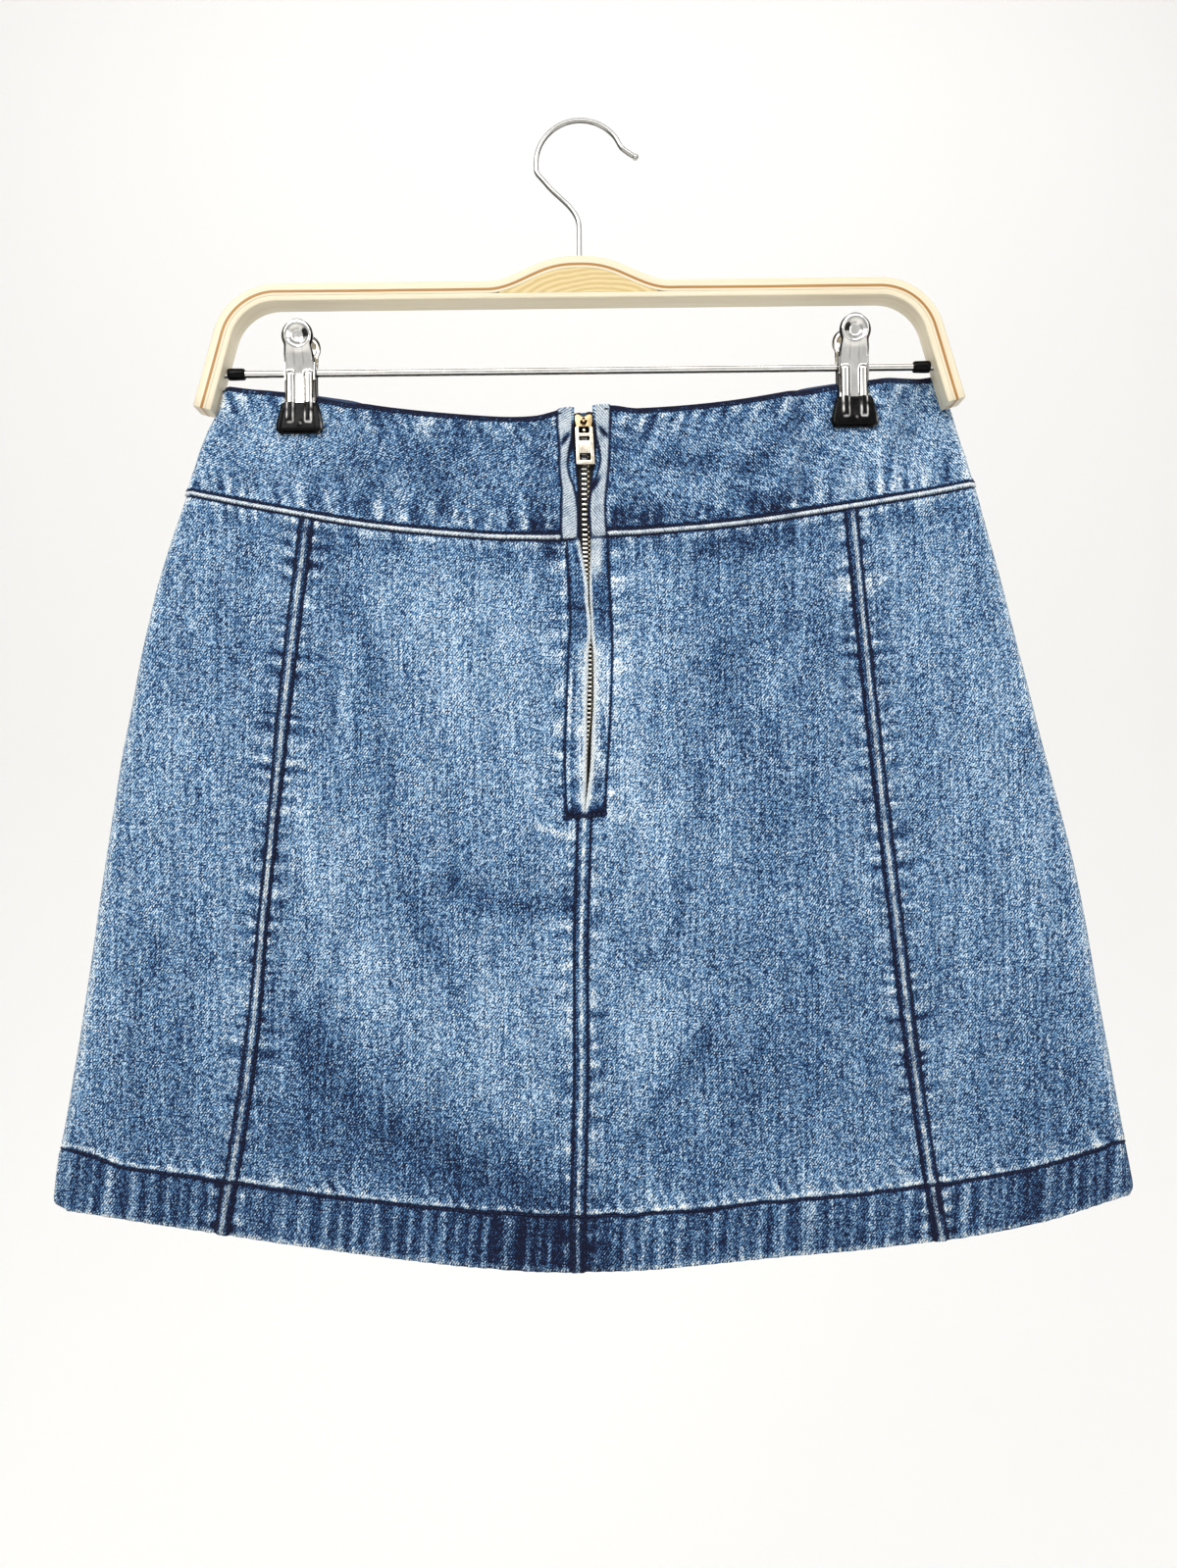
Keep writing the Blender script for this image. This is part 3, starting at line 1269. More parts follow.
def thread_material():
    n = Nodes("navy_thread", roughness=0.6, Specular_IOR_Level=0.25)
    place = n.place()
    grain = n.noise(place, (900.0, 900.0, 900.0))
    n.set("Base Color", n.ramp(grain, (0.3, (9, 13, 34)), (0.7, (24, 34, 66))))
    n.bump(grain, 0.0001, 0.6)
    return n.material


def tape_material():
    n = Nodes("zip_tape_weave", roughness=0.85)
    place = n.place()
    x, _, z = n.split(place)
    side = n.math("PINGPONG", n.math("MULTIPLY", x, 1000.0), 2.0)
    rib = n.math("PINGPONG", n.sum((z, 1400.0), (side, 0.8)), 0.5)
    grain = n.noise(place, (1500.0, 1500.0, 700.0))
    n.set("Base Color", n.ramp(n.sum((rib, 0.9), (grain, 0.5), -0.1),
                               (0.0, (4, 5, 8)), (1.0, (18, 20, 28))))
    n.bump(n.sum((rib, 1.0), (grain, 0.3)), 0.00015, 0.8)
    return n.material


def metal_material(name, dark, light, roughness, scale, tarnish):
    """Cast metal with darker hollows and brighter rubbed tops."""
    n = Nodes(name, roughness=roughness, metallic=1.0)
    place = n.place()
    fine = n.noise(place, (scale, scale, scale), detail=3.0, roughness=0.6)
    spots = n.noise(place, (scale / 5.0, scale / 5.0, scale / 4.0))
    pointed = n.node("ShaderNodeNewGeometry").outputs["Pointiness"]
    rub = n.range(pointed, 0.46, 0.56)
    level = n.sum((fine, 0.35), (spots, 0.4), (rub, 0.5), -tarnish)
    n.set("Base Color", n.ramp(level, (0.0, dark), (1.0, light)))
    n.set("Roughness", n.range(fine, 0.2, 0.8, roughness - 0.06, roughness + 0.12))
    n.bump(fine, 0.00008, 0.35)
    return n.material


def cast_material(name, pale_below, gold_above):
    """Cast gold metal: pale where fingers rub it, tan higher up, black round the eye."""
    n = Nodes(name, roughness=0.32, metallic=1.0)
    place = n.place()
    x, _, z = n.split(place)
    fine = n.noise(place, (900.0, 900.0, 900.0), detail=3.0, roughness=0.6)
    spots = n.noise(place, (200.0, 200.0, 240.0))
    level = n.sum((fine, 0.5), (spots, 0.5))
    pale = n.ramp(level, (0.25, (206, 192, 168)), (0.75, (252, 245, 228)))
    gold = n.ramp(level, (0.25, (160, 128, 84)), (0.75, (228, 202, 158)))
    high = n.range(z, pale_below * MM, gold_above * MM)
    away = n.distance(n.sum((x, 1.0), -ZIP_X * MM), n.sum((z, 1.0), -PULL_AXIS_Z * MM))
    ring = n.range(away, 1.5 * MM, 1.8 * MM, 1.0, 0.0)
    ring = n.math("MULTIPLY", ring, n.range(away, 0.5 * MM, 0.75 * MM))
    colour = n.mix_colours(high, pale, gold)
    n.set("Base Color", n.mix_colours(ring, colour, linear((30, 20, 10))))
    n.set("Roughness", n.range(fine, 0.2, 0.8, 0.26, 0.44))
    n.bump(fine, 0.00008, 0.35)
    return n.material


def chrome_material(name):
    """Bright plate, dull where grime has settled (the "grime" values say where)."""
    n = Nodes(name, roughness=0.1, metallic=1.0)
    place = n.place()
    film = n.noise(place, (260.0, 260.0, 120.0), detail=3.0)
    scratch = n.noise(place, (2400.0, 2400.0, 160.0))
    clean = n.ramp(film, (0.2, (204, 202, 198)), (0.8, (236, 234, 229)))
    grime = n.math("MULTIPLY", n.attribute("grime"), n.sum((film, 0.8), 0.6))
    n.set("Base Color", n.mix_colours(n.math("MINIMUM", grime, 1.0), clean,
                                      linear((58, 54, 50))))
    n.set("Roughness", n.range(n.sum((film, 0.6), (scratch, 0.4)), 0.25, 0.75, 0.05, 0.17))
    n.bump(film, 0.00012, 0.25)
    return n.material


def vinyl_material():
    n = Nodes("black_dipped_vinyl", roughness=0.2, Specular_IOR_Level=0.08)
    place = n.place()
    skin = n.noise(place, (420.0, 420.0, 300.0))
    dust = n.noise(place, (1800.0, 1800.0, 1800.0))
    black = n.ramp(skin, (0.3, (5, 5, 6)), (0.75, (14, 14, 15)))
    scuff = n.math("MULTIPLY", n.attribute("scuff"), n.sum((dust, 0.8), 0.5))
    n.set("Base Color", n.mix_colours(n.math("MINIMUM", scuff, 1.0), black,
                                      linear((224, 222, 218))))
    n.set("Roughness", n.range(n.sum((skin, 0.5), (dust, 0.5)), 0.3, 0.7, 0.14, 0.3))
    n.bump(skin, 0.0004, 0.35)
    return n.material


# How deep the brown veneer starts and ends and the next glue line lies, in millimetres.
VENEER_START = (3.8, 4.0)
VENEER_END = (5.15, 5.35)
GLUE_LINE = 6.45


def strip_material():
    """Bent plies: a pale one, a brown veneer, and pale ones again further in."""
    n = Nodes("bent_ply", roughness=0.48, Coat_Weight=0.12, Coat_Roughness=0.3)
    grain_place = n.attribute("grain", "Vector")
    inwards = n.attribute("inwards")
    run = n.noise(grain_place, (0.03, 1.6, 2.4), detail=4.0, roughness=0.6)
    pores = n.noise(grain_place, (0.12, 5.0, 5.0))
    broad = n.noise(grain_place, (0.012, 0.3, 0.5))
    wander = n.noise(grain_place, (0.02, 0.0, 0.0))
    place = n.sum(inwards, (wander, 0.5), -0.25)
    pale = n.ramp(n.sum((run, 0.5), (pores, 0.25), (broad, 0.35), -0.05),
                  (0.25, (204, 188, 154)), (0.5, (223, 211, 183)), (0.75, (233, 225, 205)))
    brown = n.ramp(n.sum((run, 0.6), (pores, 0.4)),
                   (0.3, (146, 98, 34)), (0.7, (180, 130, 58)))
    veneer = n.math("SUBTRACT", n.range(place, *VENEER_START), n.range(place, *VENEER_END))
    line = n.range(n.math("ABSOLUTE", n.sum(place, -GLUE_LINE)), 0.05, 0.22, 0.35, 0.0)
    colour = n.mix_colours(veneer, pale, brown)
    colour = n.mix_colours(line, colour, linear((196, 176, 132)))
    n.set("Base Color", colour)
    n.set("Roughness", n.range(run, 0.3, 0.7, 0.4, 0.6))
    n.bump(n.sum((run, 0.7), (pores, 0.5)), 0.00012, 0.5)
    return n.material


def infill_material():
    """Solid wood whose growth rings sweep up and over."""
    n = Nodes("ringed_wood", roughness=0.5, Coat_Weight=0.1)
    place = n.attribute("grain", "Vector")
    bent = n.noise(place, (0.05, 0.05, 0.05))
    x, _, z = n.split(place)
    radius = n.distance(n.sum((x, 1.0), -9.0), n.sum((z, 2.3), 222.0))
    rings = n.math("PINGPONG", n.sum((radius, 0.19), (bent, 1.2)), 0.5)
    fibre = n.noise(place, (0.25, 2.0, 2.5), detail=3.0)
    n.set("Base Color", n.ramp(n.sum((rings, 1.1), (fibre, 0.5), -0.02),
                               (0.2, (192, 164, 102)), (0.55, (208, 185, 130)),
                               (0.85, (220, 201, 154))))
    n.set("Roughness", n.range(fibre, 0.3, 0.7, 0.42, 0.6))
    n.bump(n.sum((fibre, 0.6), (rings, 0.4)), 0.00012, 0.4)
    return n.material


# ---------------------------------------------------------------- the skirt's pieces
BAND_END = WAIST - GAP / 2.0
PANEL_START = WAIST + GAP / 2.0
BAND_ROWS = steps((0.0, 3.0, 0.5), (3.0, 12.0, 0.9), (12.0, 44.0, 1.1), (44.0, 49.0, 0.8),
                  (49.0, BAND_END, 0.36))
PANEL_ROWS = steps((PANEL_START, PANEL_START + 4.0, 0.5), (PANEL_START + 4.0, 366.0, 1.2),
                   (366.0, 371.5, 0.8), (371.5, 375.5, 0.45), (375.5, 395.0, 0.95),
                   (395.0, HEM, 0.6))
BACK_CENTRE_FLAT = (182.0, 352.0)
BACK_SIDE_FLAT = (112.0, 352.0)
FRONT_FLAT = (532.0, 352.0)
BACK_BAND_FLAT = (200.0, 58.0)
FRONT_BAND_FLAT = (400.0, 56.0)
# How far each waistband's weave is turned, in degrees.
BAND_GRAIN = {"left": -25.0, "right": 75.0, "front": 40.0}


def fold_columns(sign, down, count=12):
    """Shares round a side fold, stopped half a gap short of the side seam."""
    last = 2.0 - (GAP / 2.0) / (read(LEVELS, "fold", down) * math.pi / 2.0)
    spread = np.linspace(0.0, 1.0, count + 1)[1:][None, :]
    return sign * (1.0 + (last[:, None] - 1.0) * spread)


def columns_between(start, end, places):
    """x of each column on each row, where places run from 0 to 1 between two edges."""
    return start[:, None] + (end - start)[:, None] * places[None, :]


def panel_wall(down):
    extra = smooth(HEM_STITCH - 0.5, HEM_STITCH + 0.5, down[:, None]) * (HEM_WALL - PANEL_WALL)
    return PANEL_DEPTH + PANEL_WALL + extra


def unit(places):
    return (places - places[0]) / (places[-1] - places[0])


def make_back_centre(word, sign, material):
    down = PANEL_ROWS
    edge = np.where(down < OPENING_END, read(OPENING, word, down),
                    read(LEVELS, "centre", down) + sign * GAP / 2.0)
    stitch = read(OPENING, word + "_stitch", down)
    narrow = smooth(OPENING_END, OPENING_END + 8.0, down)
    stitch = mix(stitch, edge + sign * CENTRE_PAIR, narrow)
    seam = read(SEAMS, word, down) - sign * GAP / 2.0
    lip = unit(steps((0.0, 2.0, 0.45), (2.0, 8.0, 0.8)))
    body = unit(steps((0.0, 3.0, 0.6), (3.0, 128.0, 1.25), (128.0, 136.0, 0.55)))[1:]
    x = np.concatenate([columns_between(edge, stitch, lip),
                        columns_between(stitch, seam, body)], axis=1)
    make_cloth("back_centre_" + word, share_of(x, rows_like(down, x)), down, -1,
               back_panel_relief(word, "centre"), panel_wall(down), material,
               (0.0, 1.0, 0.4, 0.0), BACK_CENTRE_FLAT)


def fold_x(sign, down):
    """Where the side fold starts."""
    return read(LEVELS, "centre", down) + sign * flat_half(down, sign)


def with_fold(x, sign, down):
    """The shares of columns at x, and those of the side fold beyond them."""
    return np.concatenate([share_of(x, rows_like(down, x)), fold_columns(sign, down)], axis=1)


def make_back_side(word, sign, material):
    down = PANEL_ROWS
    seam = read(SEAMS, word, down) + sign * GAP / 2.0
    body = unit(steps((0.0, 8.0, 0.55), (8.0, 80.0, 1.3)))
    x = columns_between(seam, fold_x(sign, down), body)
    make_cloth("back_side_" + word, with_fold(x, sign, down), down, -1,
               back_panel_relief(word, "side"), panel_wall(down), material,
               (0.0, 1.0, 0.0, 0.0), BACK_SIDE_FLAT)


def front_rows(rows, end):
    """Every second row, and the end too."""
    return rows[::2] if len(rows) % 2 else np.append(rows[::2], end)


def front_shares(down, count):
    """Shares from the left side seam round the front to the right one."""
    flat = np.linspace(-1.0, 1.0, count)[None, :] + np.zeros((len(down), 1))
    return np.concatenate([fold_columns(-1, down, 8)[:, ::-1], flat,
                           fold_columns(1, down, 8)], axis=1)


def make_front(material):
    down = front_rows(PANEL_ROWS, HEM)
    make_cloth("front_panel", front_shares(down, 221), down, 1, front_panel_relief,
               panel_wall(down), material, (0.0, 1.0, 0.0, 0.0), FRONT_FLAT)


def make_back_band(word, sign, material):
    down = BAND_ROWS
    edge = read(OPENING, word, down)
    roll = read(ROLLS, word, down)
    stitch = read(OPENING, word + "_stitch", down)
    panel = unit(steps((0.0, 3.0, 0.55), (3.0, 175.0, 1.15)))
    x = np.concatenate([
        columns_between(edge, roll, unit(steps((0.0, 3.0, 0.5)))),
        columns_between(roll, stitch, unit(steps((0.0, 8.0, 0.42))))[:, 1:],
        columns_between(stitch, fold_x(sign, down), panel)[:, 1:],
    ], axis=1)
    make_cloth("waistband_back_" + word, with_fold(x, sign, down), down, -1,
               band_relief(word), BAND_WALL, material, (0.7, 0.3, 0.6, 0.0),
               BACK_BAND_FLAT, BAND_GRAIN[word])


def make_front_band(material):
    down = front_rows(BAND_ROWS, BAND_END)
    make_cloth("waistband_front", front_shares(down, 201), down, 1, front_band_relief,
               BAND_WALL, material, (0.7, 0.3, 0.0, 0.0), FRONT_BAND_FLAT,
               BAND_GRAIN["front"])


# The stitch rows' distances above the waist seam and below the top edge, and the share at
# which rows that run round the skirt stop.
WAIST_ROW = 2.1
TOP_ROW = 1.7
ROW_END = 1.95


def opening_line(word, down):
    """The shares of the stitches beside the zip."""
    return share_of(read(OPENING, word + "_stitch", down), down)


def sew_back(material):
    """The back's seams: princess, zip box, centre, waist, top edge and hem."""
    long_seams, cross_seams = Sewing(), Sewing()
    for word, sign in SIDES.items():
        down = np.arange(PANEL_START + 0.4, HEM - 0.3, 1.2)
        for part, way in (("centre", -1.0), ("side", 1.0)):
            offset = sign * way * read(PAIRS, "%s_%s" % (word, part), down)
            share = share_of(read(SEAMS, word, down) + offset, down)
            sew(long_seams, back_panel_relief(word, part), share, down, -1)
        centre = back_panel_relief(word, "centre")
        box = np.arange(PANEL_START + 0.4, BOX_END - 2.4, 1.2)
        sew(long_seams, centre, opening_line(word, box), box, -1)
        low = np.arange(BOX_END - 1.0, HEM - 0.3, 1.2)
        line = share_of(read(LEVELS, "centre", low) + sign * CENTRE_PAIR, low)
        sew(long_seams, centre, line, low, -1)
        band = band_relief(word)
        lip = np.arange(1.2, BAND_END - 1.0, 1.0)
        sew(cross_seams, band, opening_line(word, lip), lip, -1)
        first = abs(float(opening_line(word, np.array([BAND_END - 2.5]))[0]))
        run = sign * np.linspace(first, ROW_END, 200)
        for row in (BAND_END - WAIST_ROW, TOP_ROW):
            sew(cross_seams, band, run, row, -1, radius=0.4)
        seam_share = float(share_of(read(SEAMS, word, HEM_STITCH), HEM_STITCH))
        for part, start, end in (("centre", sign * 0.002, seam_share),
                                 ("side", seam_share, sign * ROW_END)):
            run = np.linspace(start, end, 160)
            sew(cross_seams, back_panel_relief(word, part), run, hem_line(run), -1,
                radius=0.5)
    for low, radius in ((0.0, 0.5), (0.7, 0.45)):
        x = np.linspace(-11.6, 8.8, 24)
        down = BOX_BAR_ROW + low - BOX_BAR_SLANT * (x + 1.0)
        sew(long_seams, back_panel_relief("left", "centre"), share_of(x, down), down, -1,
            radius=radius, length=1.8)
    long_seams.make("stitches_back_long_seams", material)
    cross_seams.make("stitches_back_cross_seams", material)


def sew_front(material):
    sewing = Sewing()
    around = np.linspace(-ROW_END, ROW_END, 420)
    for row in (BAND_END - WAIST_ROW, TOP_ROW):
        sew(sewing, front_band_relief, around, row, 1, radius=0.4)
    sew(sewing, front_panel_relief, around, hem_line(around), 1, radius=0.5)
    sewing.make("stitches_front", material)


def make_skirt():
    denim, thread = denim_material(), thread_material()
    for word, sign in SIDES.items():
        make_back_band(word, sign, denim)
        make_back_centre(word, sign, denim)
        make_back_side(word, sign, denim)
    make_front_band(denim)
    make_front(denim)
    sew_back(thread)
    sew_front(thread)


# ---------------------------------------------------------------- small solids
def bevelled_box(x, y, z, bevel, segments=2):
    """Points and faces of a box between pairs of x, y and z, with rounded edges."""
    work = bmesh.new()
    bmesh.ops.create_cube(work, size=1.0)
    for v in work.verts:
        v.co = Vector((mix(x[0], x[1], v.co.x + 0.5), mix(y[0], y[1], v.co.y + 0.5),
                       mix(z[0], z[1], v.co.z + 0.5)))
    bmesh.ops.bevel(work, geom=list(work.edges), offset=bevel, segments=segments,
                    profile=0.5, affect="EDGES")
    return shape_of(work)


def joined(*shapes):
    """Several (points, faces) shapes as one."""
    points, faces, start = [], [], 0
    for shape_points, shape_faces in shapes:
        points.append(np.asarray(shape_points, float))
        faces += [tuple(int(v) + start for v in face) for face in shape_faces]
        start += len(shape_points)
    return np.concatenate(points), faces


def tube(path, radii, sides):
    """A round tube along points, each with its own radius, closed at both ends."""
    path = np.asarray(path, float)
    radii = np.broadcast_to(np.asarray(radii, float), (len(path),))
    along = tangents(path)
    up = np.array([0.0, 1.0, 0.0])
    if abs(along[0] @ up) > 0.9:
        up = np.array([1.0, 0.0, 0.0])
    points = []
    for k in range(len(path)):
        up = up - along[k] * (up @ along[k])
        up /= np.linalg.norm(up)
        other = np.cross(along[k], up)
        for j in range(sides):
            turn = 2.0 * math.pi * j / sides
            points.append(path[k] + radii[k] * (math.cos(turn) * up + math.sin(turn) * other))
    return np.array(points), ring_faces(len(path), sides)


def place_piece(shape, name, material, nodes, smooth_angle, body="root"):
    return stand_for(mesh_object(name, *shape, material, smooth_angle), nodes, body)


# ---------------------------------------------------------------- the zip
def zip_depth(down):
    return mix(BAND_WALL + GAP, PANEL_DEPTH + PANEL_WALL + GAP, smooth(54.4, 62.0, down))


def chain_x(down):
    top = mix(ZIP_X, CHAIN_X, smooth(5.0, 22.0, down))
    slot = 1.3 * smooth(88.0, 100.0, down) * falling(135.0, 160.0, down)
    return mix(top, CHAIN_FOOT_X, smooth(110.0, TAPE_END, down)) + slot


def behind(x, down, depth):
    """A point of the back layer's surface, moved in by depth."""
    share = share_of(x, down)
    return surface(share, down, -1) - outward(share, down, -1) * np.asarray(depth)[..., None]


def make_tapes(material):
    down = steps((TAPE_TOP, TAPE_END, 2.0))
    for word, sign in SIDES.items():
        inner_x = chain_x(down) + sign * (CHAIN_WIDTH / 2.0 - 0.9)
        places = unit(steps((0.0, 12.9, 0.8)))
        x = columns_between(inner_x, inner_x + sign * TAPE_FLAT, places)
        rows = rows_like(down, x)
        depth = zip_depth(rows)
        bead = 0.45 * bell(np.abs(x - inner_x[:, None]) - 0.9, 0.9)
        face = behind(x, rows, depth + 0.45 - bead)
        back = behind(x, rows, depth + 0.45 + 0.5 + bead)
        thing = cloth_shell("zip_tape_cloth_" + word, face, back, {}, material,
                            (0.5, 0.5, 0.8, 0.5))
        stand_for(thing, ["zip_tape_" + word])


def make_teeth(pale, dark):
    """Two rows of teeth that meet in turn down the middle of the chain."""
    rows = {
        "left": (bevelled_box((-1.9, 0.6), (-1.0, 0.9), (-0.5, 0.4), 0.14, 2), 0.0, pale),
        "right": (bevelled_box((0.95, 1.9), (-0.8, 0.9), (-0.4, 0.4), 0.14, 2), 0.5, dark),
    }
    for word, (tooth, shift, material) in rows.items():
        shapes = []
        count = int((TAPE_END - 3.0 - CHAIN_TOP) / TOOTH_PITCH)
        for k in range(count):
            down = CHAIN_TOP + 1.0 + (k + shift) * TOOTH_PITCH
            centre = behind(np.array(float(chain_x(down))), np.array(down),
                            np.array(float(zip_depth(down)) + CHAIN_THICK / 2.0))
            slim = mix(1.0, 0.9 if word == "left" else 0.5, smooth(85.0, 100.0, down))
            shapes.append((tooth[0] * np.array([slim, 1.0, slim]) + centre, tooth[1]))
        nodes = ["zip_chain"] if word == "left" else []
        place_piece(joined(*shapes), "zip_teeth_" + word, material, nodes,
                    35.0)


def face_y():
    share = share_of(np.array(ZIP_X), np.array(6.0))
    return float(surface(share, 6.0, -1)[..., 1])


def plate_shape(outline, y_front, y_back, bevel):
    """A flat plate from an (x, z) outline, with rounded edges."""
    work = bmesh.new()
    verts = [work.verts.new((x, y_front, z)) for x, z in outline]
    face = work.faces.new(verts)
    made = bmesh.ops.extrude_face_region(work, geom=[face])
    moved = [g for g in made["geom"] if isinstance(g, bmesh.types.BMVert)]
    bmesh.ops.translate(work, verts=moved, vec=(0.0, y_back - y_front, 0.0))
    bmesh.ops.recalc_face_normals(work, faces=work.faces)
    edges = [e for e in work.edges if e.calc_face_angle(0.0) > math.radians(50.0)]
    bmesh.ops.bevel(work, geom=edges, offset=bevel, segments=2, profile=0.5,
                    affect="EDGES", clamp_overlap=True)
    return shape_of(work)


def mirrored(half_outline, middle):
    """A closed outline from its right half, listed from the top middle downwards."""
    right = [(middle + x, z) for x, z in half_outline]
    left = [(middle - x, z) for x, z in reversed(half_outline) if x > 0.0]
    return right + left


def make_slider(material):
    front = face_y() + SLIDER_DEPTH
    back = face_y() + BAND_WALL + GAP + CHAIN_THICK + GAP
    half = ((0.0, -1.5), (1.1, -0.9), (2.2, -0.15), (3.4, 0.0), (4.1, -0.6), (4.35, -1.7),
            (4.3, -3.6), (3.7, -6.0), (3.2, -8.6), (3.1, -9.9), (2.6, -10.2))
    outline = mirrored([(x, SLIDER_TOP + z) for x, z in half], ZIP_X)
    face = plate_shape(outline, front, front + SLIDER_PLATE, 0.35)
    rear = plate_shape([(ZIP_X + (x - ZIP_X) * 0.95, z) for x, z in outline], back,
                       back + SLIDER_PLATE, 0.35)
    post = bevelled_box((ZIP_X - 1.3, ZIP_X + 1.3), (front + 0.5, back + 0.6),
                        (SLIDER_TOP - 3.4, SLIDER_TOP - 1.6), 0.3)
    axis_y = front - PULL_AXIS_REACH
    arch = []
    for k in range(17):
        turn = math.pi * k / 16
        arch.append((ZIP_X, front + 0.5 - (PULL_AXIS_REACH + 2.0) * math.sin(turn) ** 0.8,
                     PULL_AXIS_Z + 2.2 * math.cos(turn)))
    strap = tube(arch, 0.62, 12)
    strap_points = strap[0].copy()
    strap_points[:, 0] = ZIP_X + (strap_points[:, 0] - ZIP_X) * 1.25
    place_piece(joined(face, rear, post, (strap_points, strap[1])), "zip_slider_body",
                material, ["zip_slider"], 50.0)
    return axis_y


def rounded_window(half, top, bottom, corner):
    """A rounded rectangle round a middle, as (x, z) from the top right corner."""
    outline = []
    for cx, cz, first in ((half - corner, -top - corner, 90), (half - corner, -bottom + corner, 0),
                          (-half + corner, -bottom + corner, -90),
                          (-half + corner, -top - corner, -180)):
        for k in range(4):
            turn = math.radians(first - 90.0 * k / 3)
            outline.append((cx + corner * math.cos(turn), cz + corner * math.sin(turn)))
    return outline


def cut(target, tool):
    change = target.modifiers.new(tool.name, "BOOLEAN")
    change.operation = "DIFFERENCE"
    change.object = tool
    change.solver = "EXACT"
    change.material_mode = "TRANSFER"


def settle(thing):
    """Applies an object's modifiers."""
    bpy.context.view_layer.update()
    graph = bpy.context.evaluated_depsgraph_get()
    mesh = bpy.data.meshes.new_from_object(thing.evaluated_get(graph))
    old = thing.data
    thing.modifiers.clear()
    thing.data = mesh
    bpy.data.meshes.remove(old)


def make_pull(material, dark, axis_y):
    """The pull tab: a cast plate with an eye, two windows and a bare panel."""
    half = ((0.0, 0.9), (2.4, 0.9), (3.1, 0.2), (3.3, -1.8), (PULL_HALF, -2.7),
            (PULL_HALF + 0.25, -PULL_LENGTH + 0.5), (PULL_HALF - 0.1, -PULL_LENGTH))

    def leaned(points):
        return [(ZIP_X - PULL_LEAN * z / PULL_LENGTH + x, PULL_AXIS_Z + z) for x, z in points]

    outline = leaned(mirrored(half, 0.0))
    front, back = axis_y - PULL_THICK / 2.0, axis_y + PULL_THICK / 2.0
    shape = plate_shape(outline, front, back, 0.28)
    pull = mesh_object("zip_pull_tab", *shape, material, 50.0)
    tools = []
    windows = ((1.25, -0.4, 1.5, True), (2.6, 2.5, 5.6, False), (2.6, 7.2, 9.3, True),
               (2.75, 15.4, 18.9, True))
    for number, (wide, top, bottom, through) in enumerate(windows):
        outline = leaned(rounded_window(wide, top, bottom, 0.5))
        depth = back + 0.6 if through else front + 0.8
        points = [(x, y, z) for y in (front - 0.6, depth) for x, z in outline]
        tool = mesh_object("pull_window_%d" % number, points, ring_faces(2, len(outline)),
                           dark, 50.0)
        cut(pull, tool)
        tools.append(tool)
    settle(pull)
    for tool in tools:
        bpy.data.objects.remove(tool, do_unlink=True)
    soften(pull, 0.09)
    stand_for(pull, ["zip_pull"], "pull_tab")
    boss_x, boss_z = leaned([(0.0, -4.1)])[0]
    boss = tube([(boss_x, front + 0.85, boss_z), (boss_x, front + 0.3, boss_z),
                 (boss_x, front + 0.12, boss_z)], (0.75, 0.7, 0.35), 20)
    place_piece(boss, "zip_pull_rivet", material, [], 50.0, "pull_tab")


def soften(thing, width):
    """Rounds an object's sharp edges by a width in millimetres."""
    bevel = thing.modifiers.new("soft_edges", "BEVEL")
    bevel.width = width * MM
    bevel.segments = 2
    bevel.limit_method = "ANGLE"
    bevel.angle_limit = math.radians(40.0)
    settle(thing)
    thing.data.shade_smooth()
    thing.data.set_sharp_from_angle(angle=math.radians(50.0))


def make_zip():
    brass = metal_material("old_brass", (96, 80, 58), (226, 206, 168), 0.4, 1400.0, 0.2)
    nickel = metal_material("lit_nickel", (196, 186, 166), (255, 252, 242), 0.4, 1400.0, 0.1)
    make_tapes(tape_material())
    make_teeth(nickel, brass)
    axis_y = make_slider(cast_material("gold_cast", -164.0, -163.0))
    hollow = metal_material("black_hollow", (4, 4, 4), (22, 18, 14), 0.6, 900.0, 0.3)
    make_pull(cast_material("pale_gold_cast", -157.4, -156.0), hollow, axis_y)


# ---------------------------------------------------------------- the hanger
def hump(x):
    share = np.minimum(1.0, np.abs(x) / HUMP_HALF)
    return HUMP_RISE * 0.5 * (1.0 + np.cos(math.pi * share ** HUMP_POWER))


def strip_path(with_hump):
    """The strip's outer face from the left leg's end to the right leg's, as (x, z)."""
    turn = math.pi / 2.0 - LEG_SLOPE
    tangent = CORNER_RADIUS * math.tan(turn / 2.0)
    centre = (LEG_TOP_X - tangent, WOOD_TOP_Z - CORNER_RADIUS)
    half = []
    for x in np.arange(0.0, centre[0], 2.0):
        half.append((x, WOOD_TOP_Z + (float(hump(x)) if with_hump else 0.0)))
    for k in range(0, 25):
        angle = math.pi / 2.0 - turn * k / 24
        half.append((centre[0] + CORNER_RADIUS * math.cos(angle),
                     centre[1] + CORNER_RADIUS * math.sin(angle)))
    end_x = LEG_TOP_X + (WOOD_TOP_Z - LEG_END_Z) * math.tan(LEG_SLOPE)
    start = half[-1]
    half += [(mix(start[0], end_x, k / 6), mix(start[1], LEG_END_Z, k / 6)) for k in range(1, 7)]
    path = [(-x, z) for x, z in reversed(half[1:])] + half
    return np.array([(x + HANGER_X, z) for x, z in path])


def corner_ring(start, end, depth, cuts):
    """Section points in order round the strip: near start, over +y, near end, over -y."""
    ring = []
    spots = ((start, -depth, 1, 1, 270, 180), (start, depth, 1, -1, 180, 90),
             (end, depth, -1, -1, 90, 0), (end, -depth, -1, 1, 0, -90))
    for (a, b, way_a, way_b, first, last), corner in zip(spots, cuts):
        for k in range(5):
            turn = math.radians(mix(first, last, k / 4))
            ring.append((a + way_a * corner + corner * math.cos(turn),
                         b + way_b * corner + corner * math.sin(turn)))
    return ring


